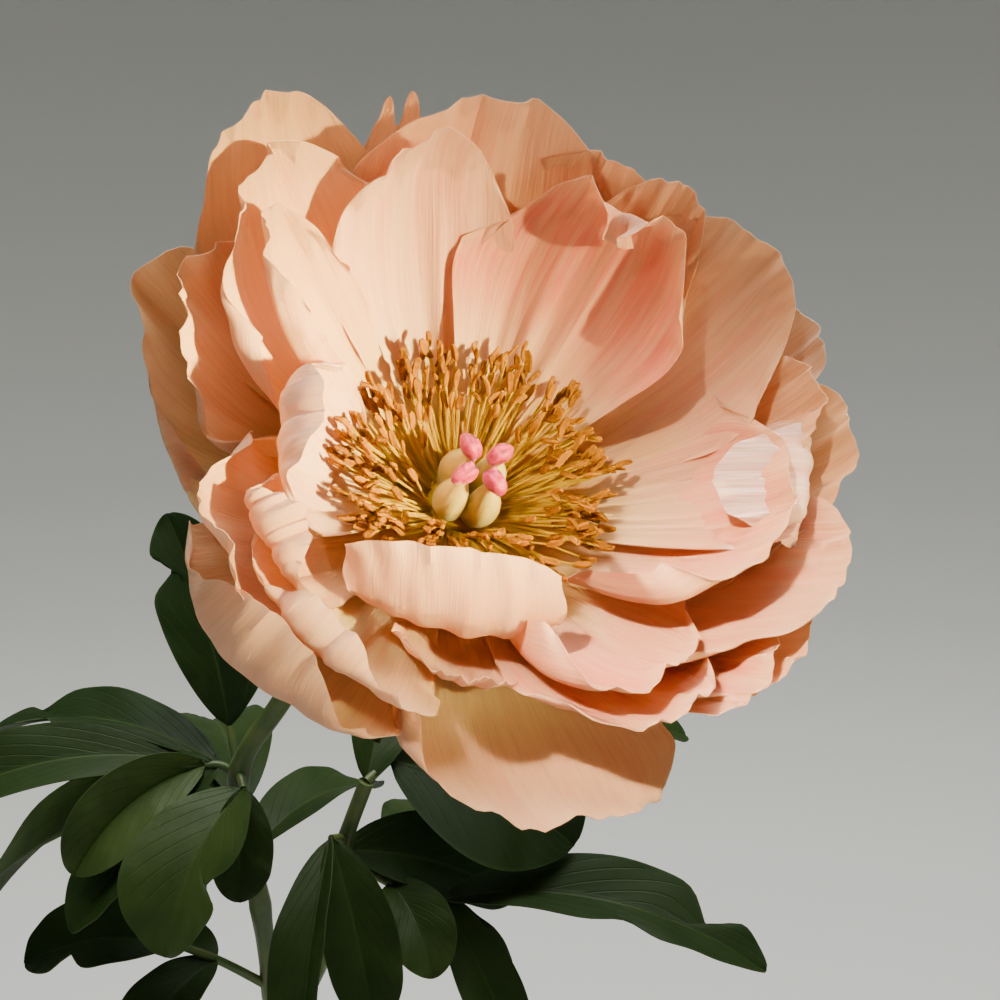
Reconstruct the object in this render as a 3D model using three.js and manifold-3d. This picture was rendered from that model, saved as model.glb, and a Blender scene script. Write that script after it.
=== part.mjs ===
// Peony in a bud vase: one large open coral peony and a side shoot of leaves, standing in water.
// Millimetres, +Z up, origin at the middle of the vase's foot. The bloom faces -Y.
import * as THREE from "three";
import { mergeVertices } from "three/addons/utils/BufferGeometryUtils.js";
import Module from "manifold-3d";

const wasm = await Module();
wasm.setup();

// Driving dimensions of the vase and the water
const vaseHeight = 150;
const footRadius = 32;
const bellyRadius = 41;
const neckRadius = 15.5;
const lipRadius = 17.5;
const vaseWall = 4.5;
const vaseFloor = 8;
const floorCurve = 3;
const stemSeat = 0.5;
const waterLevel = 104;
const vaseSides = 22;
const seatGap = 0.3;
const holeGap = 1;

// Driving dimensions of the bloom: where its receptacle is, how it leans, how thick its petals are
const receptacle = new THREE.Vector3(56, -70, 322);
const bloomLean = 55.5;
const bloomHeading = -73.5;
const petalThickness = 1;
const petalColumns = 4;
const petalRows = 5;
const petalCrowding = 1.3;
const sepalColumns = 2;
const sepalRows = 3;
const baseTop = 1;
const baseBottom = -5.3;

// Driving dimensions of the green parts
const leafThickness = 0.9;
const leafColumns = 2;
const leafRows = 6;
const mainStemRadius = 2.7;
const shootRadius = 2.2;
const petioleRadius = 1.4;

// Driving dimensions of the bloom's centre
const stamenCount = 38;
const stamenFoot = 7.3;
const stamenFootHeight = 3.3;
const stamenFirstReach = 17;
const stamenLastReach = 36;
const stamenTop = 22;
const stamenFall = 5;
const stamenScatter = 6;
const stamenSides = 3;
const goldenAngle = 137.508;
const pressedAzimuth = 262;
const pressedWidth = 43;
const pressedBy = 12;
const filamentRadius = 0.45;
const antherRadius = 1.05;
const antherLength = 5.5;
const carpelCount = 4;
const carpelLength = 24;
const carpelRadius = 4.1;
const carpelOffset = 3.7;
const carpelBelly = 1.8;
const carpelFirst = 35;
const carpelSides = 6;
const stigmaSize = [3.7, 2.2, 2.4];
const stigmaTilt = -25;

const radians = (degrees) => (degrees * Math.PI) / 180;
const clamp = (x, low, high) => Math.min(Math.max(x, low), high);

// Smooth step from 0 at a to 1 at b
function ease(a, b, x) {
  const t = clamp((x - a) / (b - a), 0, 1);
  return t * t * (3 - 2 * t);
}

// The same draws at every run
function seededRandom(seed) {
  let state = seed;
  return () => {
    state = (state * 1664525 + 1013904223) % 4294967296;
    return state / 4294967296;
  };
}

// A closed geometry with shared vertices becomes a solid that can be joined and cut
function solidOf(geometry) {
  const bare = geometry.clone();
  bare.deleteAttribute("normal");
  bare.deleteAttribute("uv");
  const merged = mergeVertices(bare, 1e-5);
  return new wasm.Manifold(
    new wasm.Mesh({
      numProp: 3,
      vertProperties: new Float32Array(merged.attributes.position.array),
      triVerts: new Uint32Array(merged.index.array),
    }),
  );
}

// Join solids into one body; what closes a hollow or comes loose as a scrap is left out
function fuse(solids) {
  const joined = solids.reduce((sum, solid) => sum.add(solid));
  const bodies = joined.decompose();
  return bodies.reduce((largest, body) => (body.volume() > largest.volume() ? body : largest));
}

function geometryOf(solid) {
  const mesh = solid.getMesh();
  const geometry = new THREE.BufferGeometry();
  geometry.setAttribute("position", new THREE.BufferAttribute(mesh.vertProperties, 3));
  geometry.setIndex(new THREE.BufferAttribute(mesh.triVerts, 1));
  geometry.computeVertexNormals();
  return geometry;
}

// A named mesh in the colour and finish of its material
function piece(name, geometry, colour, roughness, metalness = 0) {
  const material = new THREE.MeshStandardMaterial({ color: colour, roughness, metalness });
  const mesh = new THREE.Mesh(geometry, material);
  mesh.name = name;
  return mesh;
}

// A thin closed sheet over surface(u, v), with u from -1 to 1 and v from 0 to 1; crowding above 1 sets
// its rows closer towards the tip
function sheet(surface, columns, rows, thickness, crowding = 1) {
  const middle = [];
  for (let j = 0; j <= rows; j++) {
    const line = [];
    for (let i = 0; i <= columns; i++) {
      line.push(surface(-1 + (2 * i) / columns, 1 - (1 - j / rows) ** crowding));
    }
    middle.push(line);
  }
  const across = new THREE.Vector3();
  const along = new THREE.Vector3();
  const offsets = middle.map((line, j) =>
    line.map((point, i) => {
      across.subVectors(line[Math.min(i + 1, columns)], line[Math.max(i - 1, 0)]);
      along.subVectors(middle[Math.min(j + 1, rows)][i], middle[Math.max(j - 1, 0)][i]);
      return new THREE.Vector3().crossVectors(across, along).setLength(thickness / 2);
    }),
  );
  const positions = [];
  for (const side of [1, -1]) {
    middle.forEach((line, j) =>
      line.forEach((point, i) => {
        positions.push(...point.clone().addScaledVector(offsets[j][i], side).toArray());
      }),
    );
  }
  const width = columns + 1;
  const back = width * (rows + 1);
  const at = (i, j) => j * width + i;
  const index = [];
  for (let j = 0; j < rows; j++) {
    for (let i = 0; i < columns; i++) {
      const [a, b, c, d] = [at(i, j), at(i + 1, j), at(i + 1, j + 1), at(i, j + 1)];
      index.push(a, b, c, a, c, d);
      index.push(back + a, back + c, back + b, back + a, back + d, back + c);
    }
  }
  const rim = [];
  for (let i = 0; i < columns; i++) rim.push(at(i, 0));
  for (let j = 0; j < rows; j++) rim.push(at(columns, j));
  for (let i = columns; i > 0; i--) rim.push(at(i, rows));
  for (let j = rows; j > 0; j--) rim.push(at(0, j));
  rim.forEach((a, k) => {
    const b = rim[(k + 1) % rim.length];
    index.push(a, back + a, back + b, a, back + b, b);
  });
  const geometry = new THREE.BufferGeometry();
  geometry.setAttribute("position", new THREE.Float32BufferAttribute(positions, 3));
  geometry.setIndex(index);
  return geometry;
}

// A round bar along a list of points
function bar(points, radius, sides, steps) {
  const section = new THREE.Shape();
  for (let k = 0; k < sides; k++) {
    const angle = (2 * Math.PI * k) / sides;
    const [x, y] = [radius * Math.cos(angle), radius * Math.sin(angle)];
    if (k === 0) section.moveTo(x, y);
    else section.lineTo(x, y);
  }
  const extrudePath = new THREE.CatmullRomCurve3(points.map((point) => new THREE.Vector3(...point)));
  return new THREE.ExtrudeGeometry(section, { steps, bevelEnabled: false, extrudePath });
}

function lathe(profile, sides) {
  return new THREE.LatheGeometry(profile.map(([r, z]) => new THREE.Vector2(r, z)), sides).rotateX(Math.PI / 2);
}

// Vase: a plain bottle with a narrow neck, worked out from its outer curve

const vaseCurve = new THREE.SplineCurve([
  new THREE.Vector2(footRadius, 2),
  new THREE.Vector2(bellyRadius - 1.5, 26),
  new THREE.Vector2(bellyRadius, 46),
  new THREE.Vector2(bellyRadius - 8, 76),
  new THREE.Vector2(neckRadius + 3, 104),
  new THREE.Vector2(neckRadius, 124),
  new THREE.Vector2(lipRadius, vaseHeight - vaseWall / 2),
]);
const vaseOutline = vaseCurve.getPoints(9);

// Radius of the vase's outer curve at height z
function vaseRadius(z) {
  const above = vaseOutline.findIndex((point) => point.y >= z);
  const k = Math.max(above, 1);
  const [low, high] = [vaseOutline[k - 1], vaseOutline[k]];
  return low.x + ((high.x - low.x) * (z - low.y)) / (high.y - low.y);
}

function makeVase() {
  const outside = vaseOutline.map((point) => [point.x, point.y]);
  const inside = outside.filter(([, z]) => z > vaseFloor + 4).map(([r, z]) => [r - vaseWall, z]);
  const lip = [
    [lipRadius - vaseWall * 0.15, vaseHeight - vaseWall * 0.15],
    [lipRadius - vaseWall * 0.5, vaseHeight],
    [lipRadius - vaseWall * 0.85, vaseHeight - vaseWall * 0.15],
  ];
  const floor = [
    [vaseRadius(vaseFloor) - vaseWall - floorCurve, vaseFloor],
    [0, vaseFloor],
  ];
  return lathe([[0, 0], [footRadius - 2, 0], ...outside, ...lip, ...inside.reverse(), ...floor], vaseSides);
}

// Stems: the flowering stem leans on the front of the mouth, the side shoot on its back right

const standHeight = vaseFloor + stemSeat;
const mainPath = [
  [-2, 1, standHeight],
  [0, -3, 80],
  [3, -7.4, vaseHeight],
  [0, -14, 198],
  [-4, -21, 238],
  [8, -27, 260],
  [26, -36, 286],
  [43, -47, 305],
  [54.5, -65, 318.5],
];
const shootPath = [
  [-1, 7, standHeight],
  [3, 6.5, 80],
  [6.2, 5.4, vaseHeight],
  [18, -6, 184],
  [23, -16, 215],
  [30, -20, 236],
];

// Water: fills the belly, with a plain hole for each stem
function makeWater() {
  const levels = vaseOutline.map((point) => point.y).filter((z) => z > vaseFloor + 4 && z < waterLevel - 3);
  const wallAt = (z) => vaseRadius(z) - vaseWall - seatGap;
  const bottom = vaseFloor + seatGap;
  const body = solidOf(
    lathe(
      [
        [0, bottom],
        [vaseRadius(vaseFloor) - vaseWall - floorCurve - seatGap, bottom],
        ...levels.map((z) => [wallAt(z), z]),
        [wallAt(waterLevel), waterLevel],
        [0, waterLevel],
      ],
      vaseSides,
    ),
  );
  const holes = [
    [mainPath, mainStemRadius],
    [shootPath, shootRadius],
  ].map(([path, radius]) => {
    const [x, y, z] = path[0];
    return solidOf(bar([[x, y, z - 3], ...path.slice(0, 4)], radius + holeGap, 8, 10));
  });
  return geometryOf(holes.reduce((left, hole) => left.subtract(hole), body));
}

// Leaves: a leaflet starts at a point of its petiole and bends down as it goes

const leafDefaults = { droop: 40, roll: 0, twist: 0, fold: 20, lobes: [] };

// heading is in plan from +X, rise is up from level, both at the base; lobes are [side, place, depth]
function leaflet(at, heading, rise, length, width, options = {}) {
  return { ...leafDefaults, at, heading, rise, length, width, ...options };
}

const sprays = {
  flowering_stem: [
    {
      // upper node, to the left
      path: [[-4, -21, 238], [-9, -21, 241], [-13, -21, 241]],
      leaflets: [
        leaflet(2, 181, 14, 92, 24, { droop: 56, roll: -32 }),
        leaflet(1, 150, 20, 88, 24, { droop: 50, roll: -10, lobes: [[1, 0.5, 0.6], [-1, 0.6, 0.5]] }),
        leaflet(2, 208, -6, 46, 24, { droop: 55, roll: -62, fold: 34 }),
        leaflet(2, 181, -12, 104, 28, { droop: 62, roll: -38, twist: 60 }),
        leaflet(1, 210, -32, 58, 22, { droop: 20, roll: -20 }),
      ],
    },
    {
      // upper node, to the front
      path: [[-4, -21, 238], [-3, -25, 239], [-2, -28, 237]],
      leaflets: [
        leaflet(2, -122, -22, 50, 36, { droop: 50, lobes: [[1, 0.45, 0.5]] }),
        leaflet(2, -92, -52, 30, 18, { droop: 30, roll: -20 }),
      ],
    },
    {
      // upper node, upright behind the bloom
      path: [[-4, -20, 238], [-6, -17, 245], [-7, -15, 250]],
      leaflets: [
        leaflet(2, 140, 78, 60, 25, { droop: 20, roll: -40, lobes: [[1, 0.6, 0.6], [-1, 0.5, 0.4]] }),
        leaflet(2, 75, 55, 56, 22, { droop: 40 }),
      ],
    },
    {
      // middle node, to the back
      path: [[0, -14, 198], [-3, 2, 208], [-8, 16, 216]],
      leaflets: [
        leaflet(2, 105, 28, 70, 30, { droop: 50 }),
        leaflet(2, 150, 18, 66, 26, { droop: 50, lobes: [[1, 0.5, 0.5]] }),
        leaflet(1, 60, 22, 62, 26, { droop: 45 }),
        leaflet(1, 172, 6, 58, 24, { droop: 50, roll: -10 }),
      ],
    },
    {
      // lower node, low on the left
      path: [[2, -10, 172], [-12, -18, 184], [-22, -22, 190]],
      leaflets: [
        leaflet(2, 176, 12, 44, 26, { droop: 42, roll: -30, lobes: [[1, 0.5, 0.6]] }),
        leaflet(1, 232, -8, 42, 20, { droop: 40, roll: -20 }),
        leaflet(1, 140, 10, 44, 22, { droop: 40 }),
      ],
    },
  ],
  leafy_shoot: [
    {
      // tip of the shoot, behind and below the bloom
      path: [[30, -20, 236], [36, -14, 240], [44, -8, 244]],
      leaflets: [
        leaflet(1, -4, -8, 56, 42, { droop: 34, roll: 62 }),
        leaflet(2, 22, 12, 84, 30, { droop: 38, roll: 20, lobes: [[1, 0.5, 0.5]] }),
        leaflet(1, 58, -4, 62, 26, { droop: 40, roll: 10 }),
        leaflet(0, 75, 52, 54, 24, { droop: 30, roll: 30 }),
      ],
    },
    {
      // long leaf to the right
      path: [[23, -16, 215], [36, -20, 207], [50, -22, 203]],
      leaflets: [
        leaflet(2, -6, 14, 92, 27, { droop: 50, roll: 22, lobes: [[1, 0.66, 0.75], [-1, 0.4, 0.4]] }),
        leaflet(1, -60, -6, 32, 20, { droop: 60, roll: 20 }),
        leaflet(2, -44, -40, 50, 18, { droop: 30, roll: 30 }),
        leaflet(0, 14, -6, 52, 30, { droop: 30, roll: 38 }),
      ],
    },
    {
      // hanging to the front
      path: [[23, -16, 215], [23, -23, 221], [21, -28, 223]],
      leaflets: [
        leaflet(2, -99, -34, 66, 22, { droop: 38, roll: 30, fold: 30 }),
        leaflet(2, -60, -52, 52, 22, { droop: 20, roll: 10 }),
      ],
    },
    {
      // lower node, to the back right
      path: [[18, -6, 184], [30, 4, 192], [38, 10, 196]],
      leaflets: [
        leaflet(2, 20, 12, 64, 26, { droop: 50 }),
        leaflet(2, 82, 26, 56, 24, { droop: 50, lobes: [[-1, 0.5, 0.5]] }),
        leaflet(1, -12, -10, 44, 20, { droop: 30, roll: 10 }),
      ],
    },
  ],
};

// The leaflet's blade: a rib that bends down, halves folded up along it, side lobes cut forward
function leafSurface(base, leaf) {
  const steps = 60;
  const rib = [];
  const point = new THREE.Vector3(...base);
  const heading = radians(leaf.heading);
  for (let k = 0; k <= steps; k++) {
    const pitch = radians(leaf.rise - (leaf.droop * k) / steps);
    const tangent = new THREE.Vector3(
      Math.cos(pitch) * Math.cos(heading),
      Math.cos(pitch) * Math.sin(heading),
      Math.sin(pitch),
    );
    rib.push({ point: point.clone(), tangent });
    point.addScaledVector(tangent, leaf.length / steps);
  }
  const level = new THREE.Vector3(-Math.sin(heading), Math.cos(heading), 0);
  return (u, v) => {
    const lean = 0.16 * Math.abs(u) * Math.sin(Math.PI * v) ** 0.8;
    const along = Math.min(v + lean, 1);
    const { point: start, tangent } = rib[Math.round(along * steps)];
    const bare = (leaf.width / 2) * Math.sin(Math.PI * v ** 0.8) ** 0.75;
    const cut = leaf.lobes.reduce((keep, [side, place, depth]) => {
      if (side * u <= 0) return keep;
      return keep * (1 - depth * Math.exp(-(((v - place) / 0.07) ** 2)));
    }, 1);
    const half = Math.max(bare * cut, 0.7);
    const upward = new THREE.Vector3().crossVectors(tangent, level);
    const turn = radians(leaf.roll + leaf.twist * along);
    const across = level.clone().multiplyScalar(Math.cos(turn)).addScaledVector(upward, Math.sin(turn));
    const normal = upward.clone().multiplyScalar(Math.cos(turn)).addScaledVector(level, -Math.sin(turn));
    const fold = radians(leaf.fold);
    return start
      .clone()
      .addScaledVector(across, half * u * Math.cos(fold))
      .addScaledVector(normal, half * Math.abs(u) * Math.sin(fold));
  };
}

function makeSprays(list) {
  return list.flatMap((spray) => [
    solidOf(bar(spray.path, petioleRadius, 6, 5)),
    ...spray.leaflets.map((leaf) =>
      solidOf(sheet(leafSurface(spray.path[leaf.at], leaf), leafColumns, leafRows, leafThickness)),
    ),
  ]);
}

// Petals, in the bloom's own frame: Z along its axis, azimuth 0 to the right, 90 up

const petalDefaults = {
  layer: 2, width: 60, start: 92, cup: 30, roll: -8, curl: 0, curlFrom: 0.72, curlTo: 1, waves: 5, wave: 1.2,
  lip: 0, notch: 0, blunt: 0.3, claw: 0.17, peak: 0.72, square: 0.84, skew: 0, slant: 0,
};

// A petal's tip lies reach away from the axis and height above the receptacle; layer 3 is outermost
function petal(azimuth, reach, height, options = {}) {
  return { ...petalDefaults, azimuth, reach, height, ...options };
}

// A rim that folds in over a short stretch near the tip and shows the back of the petal
function foldedRim(curl, curlFrom, curlTo) {
  return { curl, curlFrom, curlTo, peak: 0.8, square: 0.95 };
}

const petalList = [
  // guard petals, from the upper left round to the top
  petal(132, 89, 58, { layer: 3, width: 70, cup: 38, start: 97, roll: 3 }),
  petal(160, 92, 50, { layer: 3.6, width: 76, cup: 44, start: 100, blunt: 0.5, roll: -4, slant: -0.2 }),
  petal(225, 84, 37, { layer: 3, width: 72, cup: 42, start: 107, roll: 3, curl: -62, curlFrom: 0.58 }),
  petal(281, 88, 40, {
    layer: 3.4, width: 80, cup: 32, start: 107, lip: 4, claw: 0.3, peak: 0.6, square: 0.82, slant: 0.1,
  }),
  petal(329, 82, 38, { layer: 3, width: 64, cup: 28, start: 99 }),
  petal(6, 83, 45, { layer: 3.4, width: 62, start: 101 }),
  petal(25, 83, 45, { layer: 3, width: 46, cup: 28, start: 97 }),
  petal(70, 77, 46, { layer: 3.2, width: 58, cup: 26, start: 101, roll: -4 }),
  petal(107, 84, 52, { layer: 3.6, width: 44, cup: 28, start: 101, notch: 13, square: 0.5, blunt: 0.6 }),
  // second ring
  petal(92, 80, 53, { layer: 2.2, width: 82, roll: 2, square: 0.92 }),
  petal(57, 76, 52, { layer: 2.4, width: 42, cup: 36, start: 93, roll: 0 }),
  petal(13, 75, 49, { width: 46, start: 93 }),
  petal(341, 82, 47, { width: 66, cup: 28, start: 90 }),
  petal(319, 79, 40, { layer: 2.8, width: 56, cup: 34, start: 95, roll: -4 }),
  petal(162, 80, 57, { layer: 2.3, cup: 34, start: 91, roll: 4, ...foldedRim(-110, 0.82, 0.92), slant: -0.2 }),
  petal(205, 68, 46, { width: 56, cup: 34, start: 95, waves: 6, wave: 2.5 }),
  petal(266, 54, 34, { width: 34, cup: 34, start: 97 }),
  petal(231, 66, 44, {
    layer: 1.4, width: 62, cup: 36, start: 93, waves: 4, wave: 1.8, ...foldedRim(-110, 0.84, 0.96),
  }),
  petal(304, 73, 42, { layer: 1.6, width: 50, start: 91 }),
  // third ring
  petal(41, 81, 57, { layer: 1, width: 66, cup: 32, start: 86, square: 0.9, roll: -2, slant: -0.05 }),
  petal(139, 76, 60, { layer: 1, width: 70, cup: 34, start: 84, roll: 8 }),
  petal(109, 70, 60, { layer: 1, width: 50, cup: 34, start: 82, square: 0.95, roll: 8, curl: -25 }),
  petal(350, 66, 48, { layer: 1, width: 72, cup: 32, start: 84 }),
  petal(305, 64, 42, { layer: 1.2, width: 54, cup: 34, start: 91 }),
  // innermost, bent over the stamens
  petal(64, 74, 58, { layer: 0, width: 62, cup: 34, start: 75, curl: -30, slant: -0.06 }),
  petal(357, 89, 58, {
    layer: 0, width: 36, start: 77, curl: -150, curlFrom: 0.73, curlTo: 0.82, peak: 0.84, square: 1,
  }),
  petal(181, 50, 56, { layer: 0, width: 44, cup: 45, start: 80, curl: -60 }),
  petal(267, 49, 39, {
    layer: 0, width: 52, cup: 24, start: 84, curl: -72, curlFrom: 0.5, curlTo: 0.82, roll: 0, peak: 0.8,
    blunt: 0.06, skew: -6, square: 0.95,
  }),
  petal(147, 66, 62, { layer: 0, width: 36, cup: 50, start: 78, roll: 10 }),
  petal(209, 61, 50, {
    layer: 0.6, width: 34, cup: 34, start: 86, waves: 3, wave: 1.8, ...foldedRim(-110, 0.8, 0.94), square: 0.9,
  }),
];

// Sepals and bracts hang below the receptacle, in the bloom's frame; root is their radius and height there
const sepalRoot = [8.3, -8.8];
const bractShape = { root: sepalRoot, cup: 40, wave: 0, roll: 0, peak: 0.5, square: 0.15, blunt: 0 };
const sepalShape = { root: sepalRoot, width: 22, start: 118, cup: 36, wave: 0, roll: 0, claw: 0.4 };
const sepalList = [
  petal(254, 55, -20, { ...bractShape, width: 15, start: 112 }),
  petal(120, 44, -24, { ...bractShape, width: 14, start: 116 }),
  petal(190, 25, -22, sepalShape),
  petal(325, 26, -23, sepalShape),
  petal(50, 26, -22, sepalShape),
];

// The mid line from the receptacle to the tip: an arc that starts nearly flat and turns up
function petalRib(p) {
  const steps = 80;
  const [r0, z0] = p.root ?? [6 + 1.4 * p.layer, 0.5 - 1.6 * p.layer];
  const start = radians(p.start);
  const half = start - Math.atan2(p.reach - r0, p.height - z0);
  const chord = Math.hypot(p.reach - r0, p.height - z0);
  const length = (chord * half) / Math.sin(half);
  const rib = [];
  let [r, z] = [r0, z0];
  for (let k = 0; k <= steps; k++) {
    const f = k / steps;
    const angle = start - 2 * half * f + radians(p.curl) * ease(p.curlFrom, p.curlTo, f);
    rib.push({ r, z, angle });
    r += (Math.sin(angle) * length) / steps;
    z += (Math.cos(angle) * length) / steps;
  }
  return { rib, length, steps };
}

function petalSurface(p) {
  const { rib, length, steps } = petalRib(p);
  const azimuth = radians(p.azimuth);
  return (u, v) => {
    const tooth = (p.notch / length) * Math.exp(-((u / 0.16) ** 2)) * v ** 6;
    const slant = p.slant * (p.slant > 0 ? u - 1 : u + 1);
    const along = v * (1 - p.blunt * Math.abs(u) ** 2.6 * v ** 2 + slant * v ** 2) - tooth;
    const { r, z, angle } = rib[Math.round(clamp(along, 0, 1) * steps)];
    const rise = Math.sin((Math.PI / 2) * Math.min(v / p.peak, 1)) ** 1.25;
    const fall = 1 - (1 - p.square) * ease(p.peak, 1, v);
    const half = (p.width / 2) * (p.claw + (1 - p.claw) * rise) * fall;
    const bend = radians(p.cup) * (0.35 + 0.65 * ease(0, 0.35, v));
    const around = Math.atan2(u, (v - 0.25) * 1.3);
    const rim = Math.max(Math.abs(u) ** 3 * ease(0.15, 0.7, v), ease(0.55, 1, v) ** 1.5);
    const ruffle = p.wave * rim * Math.sin(p.waves * around);
    const lip = p.lip * u ** 4 * ease(0.2, 0.7, v);
    const flat = (half / bend) * Math.sin(bend * u);
    const raised = (half / bend) * (1 - Math.cos(bend * u)) + ruffle - lip;
    const roll = radians(p.roll) * ease(0, 0.5, v);
    const side = flat * Math.cos(roll) - raised * Math.sin(roll) + p.skew * v ** 2;
    const inward = flat * Math.sin(roll) + raised * Math.cos(roll);
    const radius = r - inward * Math.cos(angle);
    return new THREE.Vector3(
      radius * Math.cos(azimuth) - side * Math.sin(azimuth),
      radius * Math.sin(azimuth) + side * Math.cos(azimuth),
      z + inward * Math.sin(angle),
    );
  };
}

function petalSolids(list, columns, rows) {
  return list.map((p) => solidOf(sheet(petalSurface(p), columns, rows, petalThickness, petalCrowding)));
}

// All petals grow from one low base, which sits on the receptacle
function makePetals() {
  const base = lathe(
    [[0, baseBottom], [11.4, baseBottom], [12.6, -3.2], [11.4, -0.6], [8.8, baseTop], [0, baseTop]],
    16,
  );
  return fuse([solidOf(base), ...petalSolids(petalList, petalColumns, petalRows)]);
}

// Stamens: one swept spindle each, thin filament and thick anther, set by the golden angle and pressed in
// where a petal bends over them. One that a petal or a carpel would touch is left out.

function makeStamens(neighbours) {
  const random = seededRandom(11);
  const ring = lathe([[7.1, 2.4], [7.5, 2.4], [8.5, 3.4], [8.4, 3.9], [8, 4.1], [7.1, 4.1], [7.1, 2.4]], 16);
  const spindles = [];
  for (let k = 0; k < stamenCount; k++) {
    const azimuth = goldenAngle * k + stamenScatter * random();
    const share = Math.sqrt((k + 0.5) / stamenCount);
    const pressed = Math.exp(-((((azimuth % 360) - pressedAzimuth) / pressedWidth) ** 2));
    const reach = stamenFirstReach + (stamenLastReach - stamenFirstReach - pressedBy * pressed) * share;
    const top = stamenTop - stamenFall * share + stamenScatter * random();
    const place = [radians(azimuth), stamenFoot + share, reach, top];
    const room = solidOf(stamen(...place, seatGap / Math.cos(Math.PI / stamenSides)));
    if (neighbours.every((solid) => solid.intersect(room).isEmpty())) {
      spindles.push(solidOf(stamen(...place, 0)));
    }
  }
  return geometryOf(fuse([solidOf(ring), ...spindles]));
}

// One stamen from its foot on the ring to the end of its anther, made thicker all round by swell
function stamen(azimuth, foot, reach, top, swell) {
  const outward = new THREE.Vector3(Math.cos(azimuth), Math.sin(azimuth), 0);
  const level = new THREE.Vector3(-Math.sin(azimuth), Math.cos(azimuth), 0);
  const start = outward.clone().multiplyScalar(foot).setZ(stamenFootHeight);
  const end = outward.clone().multiplyScalar(reach).setZ(top);
  const tangent = end.clone().sub(start).normalize();
  const third = new THREE.Vector3().crossVectors(tangent, level);
  const length = end.distanceTo(start);
  const rings = [
    [0, filamentRadius],
    [length - antherLength, filamentRadius],
    [length - antherLength * 0.5, antherRadius],
    [length + swell, filamentRadius],
  ];
  const positions = [];
  rings.forEach(([distance, radius]) => {
    for (let s = 0; s < stamenSides; s++) {
      const angle = (2 * Math.PI * s) / stamenSides;
      const corner = start
        .clone()
        .addScaledVector(tangent, distance)
        .addScaledVector(level, (radius + swell) * Math.cos(angle))
        .addScaledVector(third, (radius + swell) * Math.sin(angle));
      positions.push(...corner.toArray());
    }
  });
  const index = [];
  for (let k = 0; k < rings.length - 1; k++) {
    for (let s = 0; s < stamenSides; s++) {
      const a = k * stamenSides + s;
      const b = k * stamenSides + ((s + 1) % stamenSides);
      index.push(a, b, b + stamenSides, a, b + stamenSides, a + stamenSides);
    }
  }
  const last = (rings.length - 1) * stamenSides;
  index.push(0, 2, 1, last, last + 1, last + 2);
  const geometry = new THREE.BufferGeometry();
  geometry.setAttribute("position", new THREE.Float32BufferAttribute(positions, 3));
  geometry.setIndex(index);
  return geometry;
}

// Carpels: swollen ovaries that bow outward, narrow to a neck and end in a curled pink stigma

function makeCarpels() {
  const seat = lathe([[0, 1.3], [5, 1.3], [5, 2.6], [0, 2.6]], 12);
  const carpels = [];
  for (let k = 0; k < carpelCount; k++) {
    const body = lathe(
      [
        [0, 0],
        [1.2, 0],
        [carpelRadius * 0.88, carpelLength * 0.18],
        [carpelRadius, carpelLength * 0.38],
        [carpelRadius * 0.68, carpelLength * 0.68],
        [1.1, carpelLength * 0.87],
        [1, carpelLength * 0.97],
        [0, carpelLength * 0.97],
      ],
      carpelSides,
    );
    const stigma = new THREE.SphereGeometry(1, carpelSides, 4).scale(...stigmaSize);
    stigma.rotateY(radians(stigmaTilt)).translate(0.9, 0, carpelLength);
    for (const part of [body, stigma]) {
      bowOutward(part);
      part.translate(carpelOffset, 0, 1.8);
      part.rotateZ(radians(carpelFirst + (360 * k) / carpelCount));
      carpels.push(solidOf(part));
    }
  }
  return fuse([solidOf(seat), ...carpels]);
}

function bowOutward(geometry) {
  const place = geometry.attributes.position;
  for (let k = 0; k < place.count; k++) {
    const share = clamp(place.getZ(k) / carpelLength, 0, 1);
    place.setX(k, place.getX(k) + carpelBelly * Math.sin(Math.PI * share));
  }
}

// The receptacle that the petals' base sits on, with its sepals, in the bloom's frame
function receptacleSolids() {
  const cup = lathe([[0, -14], [3.2, -14], [7.5, -11.8], [10.2, -9], [9.8, -5.7], [0, -5.7]], 14);
  return [solidOf(cup), ...petalSolids(sepalList, sepalColumns, sepalRows)];
}

// Assembly

const axis = new THREE.Vector3(
  Math.sin(radians(bloomLean)) * Math.cos(radians(bloomHeading)),
  Math.sin(radians(bloomLean)) * Math.sin(radians(bloomHeading)),
  Math.cos(radians(bloomLean)),
);
const right = new THREE.Vector3(1, 0, 0).addScaledVector(axis, -axis.x).normalize();
const bloomTurn = new THREE.Matrix4().makeBasis(right, new THREE.Vector3().crossVectors(axis, right), axis);

const bloom = new THREE.Group();
bloom.position.copy(receptacle);
bloom.quaternion.setFromRotationMatrix(bloomTurn);
const petals = makePetals();
const carpels = makeCarpels();
bloom.add(piece("petals", geometryOf(petals), 0xf2b79a, 0.6));
bloom.add(piece("stamens", makeStamens([petals, carpels]), 0xe39a1c, 0.6));
bloom.add(piece("carpels", geometryOf(carpels), 0xd9d28c, 0.5));

function makeFloweringStem() {
  const calyx = receptacleSolids().map((solid) => movedBy(solid, bloomTurn, receptacle));
  return geometryOf(
    fuse([solidOf(bar(mainPath, mainStemRadius, 8, 24)), ...calyx, ...makeSprays(sprays.flowering_stem)]),
  );
}

// A solid turned and then moved
function movedBy(solid, turn, offset) {
  const geometry = geometryOf(solid);
  geometry.applyMatrix4(turn);
  geometry.translate(offset.x, offset.y, offset.z);
  return solidOf(geometry);
}

const stemInVase = new THREE.Group();
stemInVase.add(piece("flowering_stem", makeFloweringStem(), 0x4d6b2a, 0.55));
stemInVase.add(
  piece(
    "leafy_shoot",
    geometryOf(fuse([solidOf(bar(shootPath, shootRadius, 8, 18)), ...makeSprays(sprays.leafy_shoot)])),
    0x3c5a24,
    0.55,
  ),
);

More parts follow.
